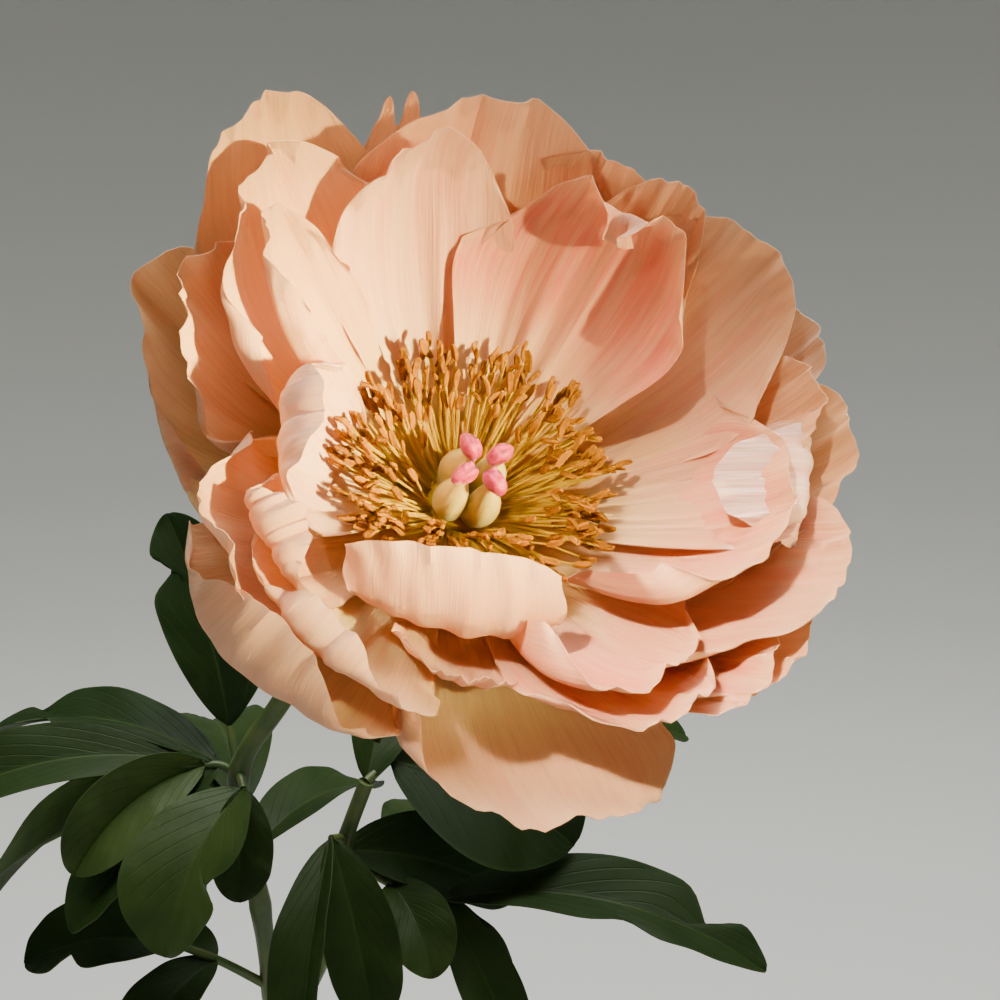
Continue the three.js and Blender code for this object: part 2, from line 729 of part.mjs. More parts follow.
const peonyInVase = new THREE.Group();
peonyInVase.add(piece("vase", makeVase(), 0xe9e6df, 0.25));
peonyInVase.add(piece("water", makeWater(), 0xdfeaea, 0.05));
peonyInVase.add(stemInVase);
peonyInVase.add(bloom);

export default peonyInVase;
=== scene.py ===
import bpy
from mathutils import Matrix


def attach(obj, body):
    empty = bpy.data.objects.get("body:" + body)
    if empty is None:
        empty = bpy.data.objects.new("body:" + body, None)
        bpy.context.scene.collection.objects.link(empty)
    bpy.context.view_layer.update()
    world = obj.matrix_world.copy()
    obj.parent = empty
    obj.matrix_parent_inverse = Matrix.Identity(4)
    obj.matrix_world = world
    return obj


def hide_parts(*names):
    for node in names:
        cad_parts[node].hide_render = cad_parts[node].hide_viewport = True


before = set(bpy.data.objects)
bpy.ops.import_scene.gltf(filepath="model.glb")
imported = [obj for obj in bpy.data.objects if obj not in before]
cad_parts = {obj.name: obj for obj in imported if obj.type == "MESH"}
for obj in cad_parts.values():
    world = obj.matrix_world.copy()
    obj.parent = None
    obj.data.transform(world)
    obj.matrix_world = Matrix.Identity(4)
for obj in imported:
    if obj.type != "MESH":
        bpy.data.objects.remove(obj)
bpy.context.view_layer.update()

import math
import random

import bpy
import numpy as np
from mathutils import Matrix, Vector

mm = 0.001


# small helpers

def ease(low, high, x):
    t = np.clip((x - low) / (high - low), 0, 1)
    return t * t * (3 - 2 * t)


# a soft window that opens at low and closes at high
def window(low, high, soft, x):
    return ease(low - soft, low + soft, x) * (1 - ease(high - soft, high + soft, x))


# smooth wavering from a few sines with drawn phases
def wobble(x, draw, pitch, parts=4):
    total = 0 * x
    for k in range(1, parts + 1):
        total = total + np.sin(pitch * k * x + draw.uniform(0, 2 * math.pi)) / k
    return total


def stack(*columns):
    return np.stack(columns, axis=-1)


def deselectAll():
    if bpy.context.mode != "OBJECT":
        bpy.ops.object.mode_set(mode="OBJECT")
    bpy.ops.object.select_all(action="DESELECT")


def makeActive(thing):
    deselectAll()
    thing.select_set(True)
    bpy.context.view_layer.objects.active = thing


def applyModifier(thing, kind, settings):
    makeActive(thing)
    modifier = thing.modifiers.new(kind.title(), kind)
    for name, value in settings.items():
        setattr(modifier, name, value)
    bpy.ops.object.modifier_apply(modifier=modifier.name)


def smoothByAngle(thing, degrees):
    makeActive(thing)
    bpy.ops.object.shade_smooth_by_angle(angle=math.radians(degrees))


def joinAll(things, name):
    deselectAll()
    for thing in things:
        thing.select_set(True)
    bpy.context.view_layer.objects.active = things[0]
    bpy.ops.object.join()
    joined = bpy.context.view_layer.objects.active
    joined.name = name
    joined.data.name = name
    return joined


def addObject(name, data):
    thing = bpy.data.objects.new(name, data)
    bpy.context.scene.collection.objects.link(thing)
    return thing


def wear(thing, *skins):
    for skin in skins:
        thing.data.materials.append(skin)


# smooth a finished piece and put it on the frame in place of a CAD node
def dress(piece, node, smoothAngle):
    smoothByAngle(piece, smoothAngle)
    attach(piece, "root")
    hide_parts(node)
    print(piece.name, len(piece.data.polygons), "faces")


# write numbers per vertex for the materials to read, one layer for each name
def paint(mesh, **layers):
    for name, values in layers.items():
        layer = mesh.attributes.new(name, "FLOAT", "POINT")
        layer.data.foreach_set("value", np.broadcast_to(values, (len(mesh.vertices),)).astype(np.float32))


# read such a layer back
def painted(mesh, name):
    values = np.empty(len(mesh.vertices), np.float32)
    mesh.attributes[name].data.foreach_get("value", values)
    return values.astype(float)


def readPlaces(mesh):
    flat = np.empty(len(mesh.vertices) * 3, np.float32)
    mesh.vertices.foreach_get("co", flat)
    return flat.reshape(-1, 3).astype(float)


def writePlaces(mesh, places):
    mesh.vertices.foreach_set("co", places.reshape(-1).astype(np.float32))
    mesh.update()


# a grid primitive whose vertices are laid on place(across, along), across from -1 to 1 and along from 0 to 1
def layGrid(columns, rows, place):
    deselectAll()
    bpy.ops.mesh.primitive_grid_add(x_subdivisions=columns, y_subdivisions=rows, size=2)
    thing = bpy.context.object
    flat = readPlaces(thing.data).reshape(rows + 1, columns + 1, 3)
    across, along = flat[:, :, 0], (flat[:, :, 1] + 1) / 2
    writePlaces(thing.data, place(across, along) * mm)
    paint(thing.data, across=across.reshape(-1), along=along.reshape(-1))
    return thing


# a blade's thickness, thinner towards its rim; the second material goes on the inner face
def thicken(thing, thickness, weights):
    group = thing.vertex_groups.new(name="body")
    for index, weight in enumerate(weights.reshape(-1)):
        group.add([index], float(weight), "REPLACE")
    applyModifier(thing, "SOLIDIFY", {
        "thickness": thickness * mm,
        "offset": 0,
        "use_rim": True,
        "vertex_group": "body",
        "thickness_vertex_group": 0.05,
        "material_offset": 1,
        "material_offset_rim": 0,
    })
    thing.vertex_groups.clear()


# a turned shape: a ring of vertices is extruded and resized up its outline of (radius, height) pairs
def turnOutline(name, outline, sides):
    deselectAll()
    radius, height = outline[0]
    bpy.ops.mesh.primitive_circle_add(vertices=sides, radius=radius * mm, fill_type="NGON",
                                      location=(0, 0, height * mm))
    thing = bpy.context.object
    thing.name = name
    bpy.ops.object.transform_apply(location=True, rotation=True, scale=True)
    bpy.ops.object.mode_set(mode="EDIT")
    bpy.ops.mesh.select_all(action="SELECT")
    for nextRadius, nextHeight in outline[1:]:
        bpy.ops.mesh.extrude_region_move(
            TRANSFORM_OT_translate={"value": (0, 0, (nextHeight - height) * mm)})
        scale = nextRadius / radius
        bpy.ops.transform.resize(value=(scale, scale, 1))
        radius, height = nextRadius, nextHeight
    bpy.ops.mesh.select_all(action="SELECT")
    bpy.ops.mesh.normals_make_consistent(inside=False)
    bpy.ops.object.mode_set(mode="OBJECT")
    return thing


def moveVertices(thing, change):
    writePlaces(thing.data, change(readPlaces(thing.data)))


# shader maths

class Sock:
    def __init__(self, tree, socket=None):
        self.tree = tree
        self.socket = socket

    # any node: its kind, what is set on it first, its inputs' values or links, and the output wanted
    def node(self, kind, settings=None, inputs=None, output=0):
        made = self.tree.nodes.new("ShaderNode" + kind)
        for name, value in (settings or {}).items():
            setattr(made, name, value)
        for key, value in (inputs or {}).items():
            if isinstance(value, Sock):
                self.tree.links.new(value.socket, made.inputs[key])
            else:
                made.inputs[key].default_value = value
        return Sock(self.tree, None if output is None else made.outputs[output])

    def math(self, operation, *values):
        return self.node("Math", {"operation": operation}, dict(enumerate(values)))

    def __add__(self, other):
        return self.math("ADD", self, other)

    def __sub__(self, other):
        return self.math("SUBTRACT", self, other)

    def __rsub__(self, other):
        return self.math("SUBTRACT", other, self)

    def __mul__(self, other):
        return self.math("MULTIPLY", self, other)

    __radd__ = __add__
    __rmul__ = __mul__

    def size(self):
        return self.math("ABSOLUTE", self)

    def fraction(self):
        return self.math("FRACT", self)

    # 0 below low and 1 above high, with a smooth step between
    def step(self, low, high):
        ends = {1: low, 2: high, 3: 0, 4: 1}
        return self.node("MapRange", {"interpolation_type": "SMOOTHSTEP"}, {0: self, **ends})

    def mixed(self, first, second):
        return self.node("Mix", {"data_type": "RGBA"}, {0: self, 6: first, 7: second}, 2)


def rgb(red, green, blue):
    return (red, green, blue, 1)


# a new material, and the paper on which its nodes are drawn
def newSkin(name):
    skin = bpy.data.materials.new(name)
    skin.use_nodes = True
    skin.node_tree.nodes.clear()
    return skin, Sock(skin.node_tree)


# painted numbers, read by their names
def attributes(paper, *names):
    return [paper.node("Attribute", {"attribute_name": name}, output=2) for name in names]


def objectPlace(paper):
    return paper.node("TexCoord", output=3)


# a colour with others laid over it in turn, each as (mask, share, colour)
def layered(colour, *coats):
    for mask, share, tint in coats:
        colour = (mask * share).mixed(colour, tint)
    return colour


def noise(paper, scale, detail=3, roughness=0.6, place=None):
    inputs = {"Vector": place or objectPlace(paper), "Scale": scale, "Detail": detail, "Roughness": roughness}
    return paper.node("TexNoise", inputs=inputs)


# the surface and its output; bump is (height, strength, distance), through (share of light, its colour)
def finishSkin(paper, inputs, bump=None, through=None):
    if bump:
        inputs["Normal"] = paper.node("Bump", inputs=dict(zip(("Height", "Strength", "Distance"), bump)))
    surface = paper.node("BsdfPrincipled", inputs=inputs)
    if through:
        share, colour = through
        glow = paper.node("BsdfTranslucent", inputs={"Color": colour})
        surface = paper.node("MixShader", inputs={0: share, 1: surface, 2: glow})
    paper.node("OutputMaterial", inputs={"Surface": surface}, output=None)


# camera, light and floor

view = {"place": (65.9, -558.7, 427.8), "elevation": 12, "lens": 76, "sensor": 36, "near": 10}
bpy.ops.object.camera_add(location=[value * mm for value in view["place"]],
                          rotation=(math.radians(90 - view["elevation"]), 0, 0))
camera = bpy.context.object
camera.data.lens = view["lens"]
camera.data.sensor_width = view["sensor"]
camera.data.clip_start = view["near"] * mm
bpy.context.scene.camera = camera

studio = {
    "key": {"aim": (27, -92, 354), "from": (0.83, -0.555, 0.02), "distance": 1300, "size": 0.1, "power": 0.27,
            "colour": (1, 0.78, 0.36), "spread": 5},
    "side": {"aim": (102, -116, 306), "from": (-0.33, -0.6, 0.73), "distance": 1000, "size": 0.1, "power": 0.125,
             "colour": (1, 0.72, 0.52), "spread": 6.5},
    "fill": {"aim": (48, -95, 344), "from": (0.05, 0.12, 0.99), "distance": 1000, "size": 1.1, "power": 24,
             "colour": (1, 0.99, 0.97), "spread": 180},
    "sky": (0.33, 0.335, 0.32),
}
for name in ("key", "side", "fill"):
    lamp = studio[name]
    heading = Vector(lamp["from"]).normalized()
    place = (Vector(lamp["aim"]) + heading * lamp["distance"]) * mm
    bpy.ops.object.light_add(type="AREA", location=place, rotation=heading.to_track_quat("Z", "Y").to_euler())
    light = bpy.context.object
    light.name = name
    light.data.shape = "DISK"
    light.data.size = lamp["size"]
    light.data.energy = lamp["power"]
    light.data.color = lamp["colour"]
    light.data.spread = math.radians(lamp["spread"])

world = bpy.data.worlds.new("sky")
world.use_nodes = True
world.node_tree.nodes["Background"].inputs["Color"].default_value = (*studio["sky"], 1)
bpy.context.scene.world = world

print("camera and light are up")

# a flat round floor that curves up all around as backdrop, just under the vase
floorForm = {
    "drop": 0.2, "rings": (20, 300, 950), "flat": 1100, "cove": 1700, "top": 1900, "sides": 96,
    "colour": rgb(0.72, 0.725, 0.7), "roughness": 0.9,
}
floorOutline = [(radius, 0) for radius in floorForm["rings"]]
for degrees in range(0, 91, 10):
    bend = math.radians(degrees)
    floorOutline.append((floorForm["flat"] + floorForm["cove"] * math.sin(bend),
                         floorForm["cove"] * (1 - math.cos(bend))))
floorOutline.append((floorForm["flat"] + floorForm["cove"] + 1, floorForm["top"]))
floor = turnOutline("floor", floorOutline, floorForm["sides"])
moveVertices(floor, lambda points: points - np.array([0, 0, floorForm["drop"] * mm]))
skin, paper = newSkin("floorPaper")
finishSkin(paper, {"Base Color": floorForm["colour"], "Roughness": floorForm["roughness"]})
wear(floor, skin)
smoothByAngle(floor, 60)
print("floor is laid")


# petals

bloom = {"receptacle": (56, -70, 322), "lean": 55.5, "heading": -73.5}
lean, heading = math.radians(bloom["lean"]), math.radians(bloom["heading"])
axis = Vector((math.sin(lean) * math.cos(heading), math.sin(lean) * math.sin(heading), math.cos(lean)))
right = (Vector((1, 0, 0)) - axis * axis.x).normalized()
bloomTurn = np.array([right, axis.cross(right), axis]).T
bloomPlace = np.array(bloom["receptacle"])


# from the bloom's own frame to the frame of the whole
def fromBloom(points):
    return points @ bloomTurn.T + bloomPlace


def seatInBloom(thing):
    moveVertices(thing, lambda points: fromBloom(points / mm) * mm)


# root is where a petal of layer 0 starts; each layer further out starts further out and down
petalForm = {
    "columns": 44, "rows": 54, "samples": 241, "thickness": 0.5, "rimShare": 0.25,
    "root": (6, 0.5), "out": 1.4, "down": 1.6, "notchWidth": 0.16, "foldSoft": 0.12, "creaseSoft": 0.18,
    "pleat": 0.4, "pleatPitch": 6, "frill": 0.7, "frillPitch": 13, "ragged": 0.007, "raggedPitch": 5,
    "sideWaver": 0.012, "sidePitch": 11,
}

petalDefaults = {
    "layer": 2, "width": 60, "start": 92, "cup": 30, "roll": -8, "curl": 0, "curlFrom": 0.72, "curlTo": 1,
    "waves": 5, "wave": 1.2, "lip": 0, "notch": 0, "blunt": 0.3, "claw": 0.17, "peak": 0.72, "square": 0.84,
    "skew": 0, "slant": 0, "ruffle": 0, "blush": 0.35, "warm": 0.3, "pale": 0, "tipPale": 0,
    "folds": [], "tips": [], "creases": [],
}


# folds are (side, from, to, degrees inward, along from, along to), tips (from, to, degrees, middle, width),
# creases (place across, width, height inward, along from, along to)
def petal(azimuth, reach, height, **options):
    return {**petalDefaults, "azimuth": azimuth, "reach": reach, "height": height, **options}


guardPetals = [
    petal(132, 89, 58, layer=3, width=70, cup=38, start=97, roll=3, warm=0.8, blush=0.15),
    petal(160, 92, 50, layer=3.6, width=76, cup=44, start=100, blunt=0.5, roll=-4, slant=-0.2, warm=1, blush=0.1,
          creases=[(-0.15, 0.1, -2.2, 0.3, 1.1)]),
    petal(225, 84, 37, layer=3, width=72, cup=42, start=107, roll=3, curl=-62, curlFrom=0.58, warm=0.6, blush=0.2),
    petal(281, 88, 40, layer=3.4, width=80, cup=32, start=107, lip=4, claw=0.3, peak=0.6, square=0.82, slant=0.1,
          warm=0.5, blush=0.2, folds=[(-1, 0.62, 0.85, 70, 0.3, 0.97)]),
    petal(329, 82, 38, layer=3, width=64, cup=28, start=99, warm=0.2, blush=0.9),
    petal(6, 83, 45, layer=3.4, width=62, start=101, warm=0.9, blush=0.2),
    petal(25, 83, 45, layer=3, width=46, cup=28, start=97, warm=0.1, blush=0.1, pale=1),
    petal(70, 77, 46, layer=3.2, width=58, cup=26, start=101, roll=-4, warm=0.2, blush=0.4),
    petal(107, 84, 52, layer=3.6, width=44, cup=28, start=101, notch=13, square=0.5, blunt=0.6, warm=0.2,
          blush=0.5),
]
secondPetals = [
    petal(92, 80, 53, layer=2.2, width=82, roll=2, square=0.92, warm=0.2, blush=0.55,
          creases=[(0.1, 0.06, -1.6, 0.3, 1.1)]),
    petal(57, 76, 52, layer=2.4, width=42, cup=36, start=93, roll=0, warm=0.5, blush=0.6),
    petal(13, 75, 49, width=46, start=93, warm=0.5, blush=0.2),
    petal(341, 82, 47, width=66, cup=28, start=90, warm=0.1, blush=0.6),
    petal(319, 79, 40, layer=2.8, width=56, cup=34, start=95, roll=-4, warm=0.1, blush=1),
    petal(162, 80, 57, layer=2.3, cup=34, start=91, roll=4, curl=-110, curlFrom=0.82, curlTo=0.92, peak=0.8,
          square=0.95, slant=-0.2, warm=0.6, blush=0.2, ruffle=0.4, folds=[(1, 0.56, 0.76, 120, 0.3, 1.1)]),
    petal(205, 68, 46, width=56, cup=34, start=95, waves=6, wave=2.5, blush=0.3),
    petal(266, 54, 34, width=34, cup=34, start=97, blush=0.4),
    petal(231, 66, 44, layer=1.4, width=62, cup=36, start=93, waves=4, wave=1.8, warm=0.7, blush=0.1, ruffle=0.25,
          curl=-110, curlFrom=0.84, curlTo=0.96, peak=0.8, square=0.95),
    petal(304, 73, 42, layer=1.6, width=50, start=91, warm=0.1, blush=0.9),
]
innerPetals = [
    petal(41, 81, 57, layer=1, width=66, cup=32, start=86, square=0.9, roll=-2, slant=-0.05, warm=0.4, blush=0.3),
    petal(139, 76, 60, layer=1, width=70, cup=34, start=84, roll=8, warm=0.6, blush=0.1, ruffle=0.5,
          folds=[(1, 0.72, 0.88, 60, 0.5, 1.1)]),
    petal(109, 70, 60, layer=1, width=50, cup=34, start=82, square=0.95, roll=8, warm=0.1, blush=0.4, pale=0.3,
          curl=-25, creases=[(-0.3, 0.07, 1.8, 0.2, 0.75), (0.3, 0.06, 1.2, 0.2, 0.8)]),
    petal(350, 66, 48, layer=1, width=72, cup=32, start=84, warm=0.2, blush=0.7,
          folds=[(-1, 0.66, 0.82, 85, 0.3, 1.1)]),
    petal(305, 64, 42, layer=1.2, width=54, cup=34, start=91, warm=0.1, blush=0.9,
          folds=[(-1, 0.5, 0.75, 75, 0.3, 1.1)]),
    petal(64, 74, 58, layer=0, width=62, cup=34, start=75, curl=-30, slant=-0.06, warm=0.1, blush=1,
          creases=[(0.2, 0.07, 1.4, 0.15, 0.8), (-0.1, 0.06, 1, 0.15, 0.8), (0.5, 0.07, -1.2, 0.2, 0.8)],
          tips=[(0.84, 0.91, 140, -0.05, 0.28)]),
    petal(357, 89, 58, layer=0, width=36, start=77, curl=-150, curlFrom=0.73, curlTo=0.82, peak=0.84, square=1,
          warm=0.2, blush=0.4, tipPale=1),
    petal(181, 50, 56, layer=0, width=44, cup=45, start=80, curl=-60, warm=0.2, blush=0.3, pale=0.4),
    petal(267, 49, 39, layer=0, width=52, cup=24, start=84, curl=-72, curlFrom=0.5, curlTo=0.82, roll=0, peak=0.8,
          blunt=0.06, skew=-6, square=0.95, warm=0.8, blush=0.3,
          creases=[(-0.35, 0.1, -1.2, 0.5, 1.1), (0.1, 0.1, -1.4, 0.5, 1.1), (0.5, 0.08, -1, 0.5, 1.1)]),
    petal(147, 66, 62, layer=0, width=36, cup=50, start=78, roll=10, warm=0.4, blush=0.1,
          folds=[(1, 0.35, 0.6, 90, 0.3, 1.1)]),
    petal(209, 61, 50, layer=0.6, width=34, cup=34, start=86, warm=0.5, blush=0.4, ruffle=0.2, waves=3, wave=1.8,
          curl=-110, curlFrom=0.8, curlTo=0.94, peak=0.8, square=0.9),
]


# turn each row's step about the local cross direction, so that a tip folds over
def foldTips(points, across, along, tips):
    for low, high, degrees, middle, width in tips:
        turn = -math.radians(degrees) * ease(low, high, along) * np.exp(-(((across - middle) / width) ** 2))
        steps = np.diff(points, axis=0)
        cross = np.gradient(points, axis=1)
        cross /= np.linalg.norm(cross, axis=2, keepdims=True)
        cross, angle = cross[:-1], turn[:-1, :, None]
        dot = np.sum(steps * cross, axis=2, keepdims=True)
        turned = steps * np.cos(angle) + np.cross(cross, steps) * np.sin(angle)
        turned = turned + cross * dot * (1 - np.cos(angle))
        points = np.concatenate([points[:1], points[:1] + np.cumsum(turned, axis=0)])
    return points


# a petal's middle line: an arc from the receptacle to the tip, which may curl over
def petalRib(p):
    rootR, rootZ = petalForm["root"]
    r0, z0 = p.get("root", (rootR + petalForm["out"] * p["layer"], rootZ - petalForm["down"] * p["layer"]))
    start = math.radians(p["start"])
    half = start - math.atan2(p["reach"] - r0, p["height"] - z0)
    length = math.hypot(p["reach"] - r0, p["height"] - z0) * half / math.sin(half)
    share = np.linspace(0, 1, petalForm["samples"])
    angles = start - 2 * half * share + math.radians(p["curl"]) * ease(p["curlFrom"], p["curlTo"], share)
    step = (share[1] - share[0]) * length
    ribR = r0 + np.concatenate([[0], np.cumsum(np.sin(angles[:-1]) * step)])
    ribZ = z0 + np.concatenate([[0], np.cumsum(np.cos(angles[:-1]) * step)])
    return length, share, ribR, ribZ, angles


# the same petal as the solid one, cupped across its middle line, with a waved rim
def petalSurface(p, draw, fineness):
    form = petalForm
    length, share, *rib = petalRib(p)
    azimuth = math.radians(p["azimuth"])

    def place(u, v):
        ragged = form["ragged"] * fineness * wobble(u, draw, form["raggedPitch"]) * v ** 8
        tooth = (p["notch"] / length) * np.exp(-((u / form["notchWidth"]) ** 2)) * v ** 6
        slant = p["slant"] * (u - 1 if p["slant"] > 0 else u + 1)
        along = v * (1 - p["blunt"] * np.abs(u) ** 2.6 * v ** 2 + slant * v ** 2) - tooth - np.abs(ragged)
        r, z, angle = (np.interp(np.clip(along, 0, 1), share, values) for values in rib)
        rise = np.sin(np.pi / 2 * np.minimum(v / p["peak"], 1)) ** 1.25
        fall = 1 - (1 - p["square"]) * ease(p["peak"], 1, v)
        halfWidth = (p["width"] / 2) * (p["claw"] + (1 - p["claw"]) * rise) * fall
        sideWaver = form["sideWaver"] * fineness * wobble(v, draw, form["sidePitch"])
        halfWidth = halfWidth * (1 + sideWaver * v)
        turn = math.radians(p["cup"]) * (0.35 + 0.65 * ease(0, 0.35, v)) * u
        for side, low, high, degrees, first, last in p["folds"]:
            held = ease(low, high, side * u) * window(first, last, form["foldSoft"], v)
            turn = turn + side * math.radians(degrees) * held
        flat = integrateFromMiddle(np.cos(turn), u) * halfWidth
        raised = integrateFromMiddle(np.sin(turn), u) * halfWidth
        around = np.arctan2(u, (v - 0.25) * 1.3)
        rim = np.maximum(np.abs(u) ** 3 * ease(0.15, 0.7, v), ease(0.55, 1, v) ** 1.5)
        raised = raised + p["wave"] * rim * np.sin(p["waves"] * around) - p["lip"] * u ** 4 * ease(0.2, 0.7, v)
        frill = form["frill"] * fineness + p["ruffle"]
        raised = raised + frill * rim ** 2 * wobble(around, draw, form["frillPitch"])
        for where, wide, high, first, last in p["creases"]:
            ridge = high * np.exp(-(((u - where) / wide) ** 2))
            raised = raised + ridge * window(first, last, form["creaseSoft"], v)
        pleats = wobble(u + 0.05 * np.sin(6 * v), draw, form["pleatPitch"], 5)
        raised = raised + form["pleat"] * fineness * ease(0.1, 0.6, v) * pleats
        roll = math.radians(p["roll"]) * ease(0, 0.5, v)
        side = flat * np.cos(roll) - raised * np.sin(roll) + p["skew"] * v ** 2
        inward = flat * np.sin(roll) + raised * np.cos(roll)
        radius = r - inward * np.cos(angle)
        points = stack(radius * math.cos(azimuth) - side * math.sin(azimuth),
                      radius * math.sin(azimuth) + side * math.cos(azimuth), z + inward * np.sin(angle))
        return fromBloom(foldTips(points, u, v, p["tips"]))

    return place


# running sum across a petal that is nought on its middle line
def integrateFromMiddle(slope, u):
    steps = (slope[:, 1:] + slope[:, :-1]) / 2 * np.diff(u, axis=1)
    total = np.concatenate([np.zeros((len(u), 1)), np.cumsum(steps, axis=1)], axis=1)
    middle = u.shape[1] // 2
    return total - total[:, middle:middle + 1]


# streaks and veins run along the petal, the blush lies across its middle, heart and core colour its foot
def makePetalSkin(name, look):
    skin, paper = newSkin(name)
    across, along, blush, warm, pale, seed = attributes(paper, "across", "along", "blush", "warm", "pale", "seed")
    streakPlace = paper.node("CombineXYZ", inputs={0: across, 1: along * 0.09, 2: seed * 37})
    broad = noise(paper, 7, 2, place=streakPlace)
    streaks = noise(paper, 22, 4, 0.7, streakPlace)
    veins = noise(paper, 52, 3, 0.75, streakPlace)
    cloud = noise(paper, 45, 2)
    edge = across.size() * along.step(0.3, 0.8)
    blushPlace = along.step(0.3, 0.62) * (1 - along.step(0.8, 1.02) * 0.75) * (1 - edge.step(0.55, 0.95) * 0.6)
    blushStreaks = (0.25 + streaks.step(0.38, 0.66) * 0.9) * (0.5 + broad.step(0.35, 0.65) * 0.6)
    masks = {
        "blush": blush * blushPlace * blushStreaks,
        "heart": 1 - along.step(0.05, warm * 0.4 + look["heartTo"]),
        "core": 1 - along.step(0.14, 0.34),
        "rim": paper.math("MAXIMUM", edge.step(0.86, 1), along.step(0.93, 1)),
        "vein": veins.step(0.42, 0.7),
        "cloud": cloud.step(0.45, 0.75),
        "shade": streaks.step(0.48, 0.68),
    }
    body = pale.mixed(warm.mixed(look["body"], look["warm"]), look["pale"])
    height = veins * 0.7 + streaks * 0.9
    finishSkin(paper, {
        "Base Color": layered(body, *((mask, look[key + "Share"], look[key]) for key, mask in masks.items())),
        "Roughness": 0.5 + streaks * 0.18,
        "Specular IOR Level": 0.18,
        "Sheen Weight": 0.03,
        "Sheen Roughness": 0.4,
    }, bump=(height, 0.6, 0.55 * mm), through=(look["through"], look["glow"]))
    return skin


petalLook = {
    "body": rgb(0.9, 0.595, 0.35), "warm": rgb(0.88, 0.65, 0.31), "pale": rgb(0.95, 0.81, 0.66),
    "blush": rgb(0.9, 0.23, 0.17), "blushShare": 1.3, "heart": rgb(0.98, 0.85, 0.26), "heartTo": 0.42,
    "heartShare": 0.95, "core": rgb(0.78, 0.5, 0.02), "coreShare": 0.9, "rim": rgb(0.92, 0.66, 0.44),
    "rimShare": 0.3, "vein": rgb(0.8, 0.34, 0.18), "veinShare": 0.55, "cloud": rgb(0.9, 0.58, 0.38),
    "cloudShare": 0.3, "shade": rgb(0.74, 0.44, 0.26), "shadeShare": 0.35, "through": 0.34,
    "glow": rgb(1, 0.68, 0.4),
}
petalInside = makePetalSkin("petalInside", petalLook)
petalOutside = makePetalSkin("petalOutside", {
    **petalLook, "body": rgb(0.8, 0.54, 0.34), "warm": rgb(0.76, 0.54, 0.33), "pale": rgb(0.96, 0.86, 0.78),
    "blushShare": 0.8, "heart": rgb(0.92, 0.72, 0.36), "heartTo": 0.2, "coreShare": 0,
    "rim": rgb(0.88, 0.68, 0.5), "shadeShare": 0.5,
})


def makePetals(name, petals, seed):
    draw = random.Random(seed)
    made = []
    for p in petals:
        thing = layGrid(petalForm["columns"], petalForm["rows"], petalSurface(p, draw, 1))
        across, along = painted(thing.data, "across"), painted(thing.data, "along")
        pale = np.maximum(p["pale"], p["tipPale"] * ease(0.6, 0.75, along))
        paint(thing.data, blush=p["blush"], warm=p["warm"], pale=pale, seed=draw.random())
        wear(thing, petalOutside, petalInside)
        edge = np.maximum(np.abs(across) * ease(0.05, 0.2, along), along)
        thicken(thing, petalForm["thickness"], 1 - (1 - petalForm["rimShare"]) * ease(0.8, 1, edge))
        made.append(thing)
    dress(joinAll(made, name), "petals", 50)


makePetals("petals_guard", guardPetals, 5)
makePetals("petals_second", secondPetals, 6)
makePetals("petals_inner", innerPetals, 7)

petalSeat = turnOutline("petals_seat", [(11.2, -5.3), (12.4, -3.4), (11.6, -0.8), (8.8, 0.8), (4, 1)], 40)
seatInBloom(petalSeat)
paint(petalSeat.data, across=0, along=0.02, blush=0, warm=0.3, pale=0, seed=0.5)
wear(petalSeat, petalInside)
dress(petalSeat, "petals", 50)


# stems and leaves

# the point at t on the line that passes a at ta and b at tb
def between(a, b, ta, tb, t):
    return ((tb - t) * a + (t - ta) * b) / (tb - ta)


# a centripetal curve through points, as the solids have
def throughPoints(points, count):
    points = [np.array(point, float) for point in points]
    first, last = 2 * points[0] - points[1], 2 * points[-1] - points[-2]
    padded = [first, *points, last]
    out = []
    for k in range(len(points) - 1):
        p0, p1, p2, p3 = padded[k:k + 4]
        knots = [0]
        for a, b in ((p0, p1), (p1, p2), (p2, p3)):
            knots.append(knots[-1] + max(np.linalg.norm(b - a), 1e-6) ** 0.5)
        t0, t1, t2, t3 = knots
        for t in np.linspace(t1, t2, count, endpoint=False):
            a1, a2, a3 = between(p0, p1, t0, t1, t), between(p1, p2, t1, t2, t), between(p2, p3, t2, t3, t)
            b1, b2 = between(a1, a2, t0, t2, t), between(a2, a3, t1, t3, t)
            out.append(between(b1, b2, t1, t2, t))
    out.append(points[-1])
    return np.array(out)


nodeForm = {"swelling": 0.22, "width": 5}


# a round stem along points, swollen at its nodes
def makeStem(name, points, radius, nodes=(), endShare=1, count=10):
    line = throughPoints(points, count)
    curve = bpy.data.curves.new(name, "CURVE")
    curve.dimensions = "3D"
    curve.bevel_depth = radius * mm
    curve.bevel_resolution = 3
    curve.use_fill_caps = True
    spline = curve.splines.new("POLY")
    spline.points.add(len(line) - 1)
    for k, point in enumerate(line):
        away = [np.linalg.norm(point - np.array(node)) / nodeForm["width"] for node in nodes]
        swell = sum(nodeForm["swelling"] * math.exp(-(distance ** 2)) for distance in away)
        spline.points[k].co = (*(point * mm), 1)
        spline.points[k].radius = (1 + (endShare - 1) * k / (len(line) - 1)) * (1 + swell)
    makeActive(addObject(name, curve))
    bpy.ops.object.convert(target="MESH")
    thing = bpy.context.object
    bpy.ops.object.mode_set(mode="EDIT")
    bpy.ops.mesh.select_all(action="SELECT")
    bpy.ops.mesh.remove_doubles(threshold=0.001 * mm)
    bpy.ops.mesh.normals_make_consistent(inside=False)
    bpy.ops.object.mode_set(mode="OBJECT")
    paint(thing.data, across=0, along=0.5, light=0.5, seed=0.5)
    return thing


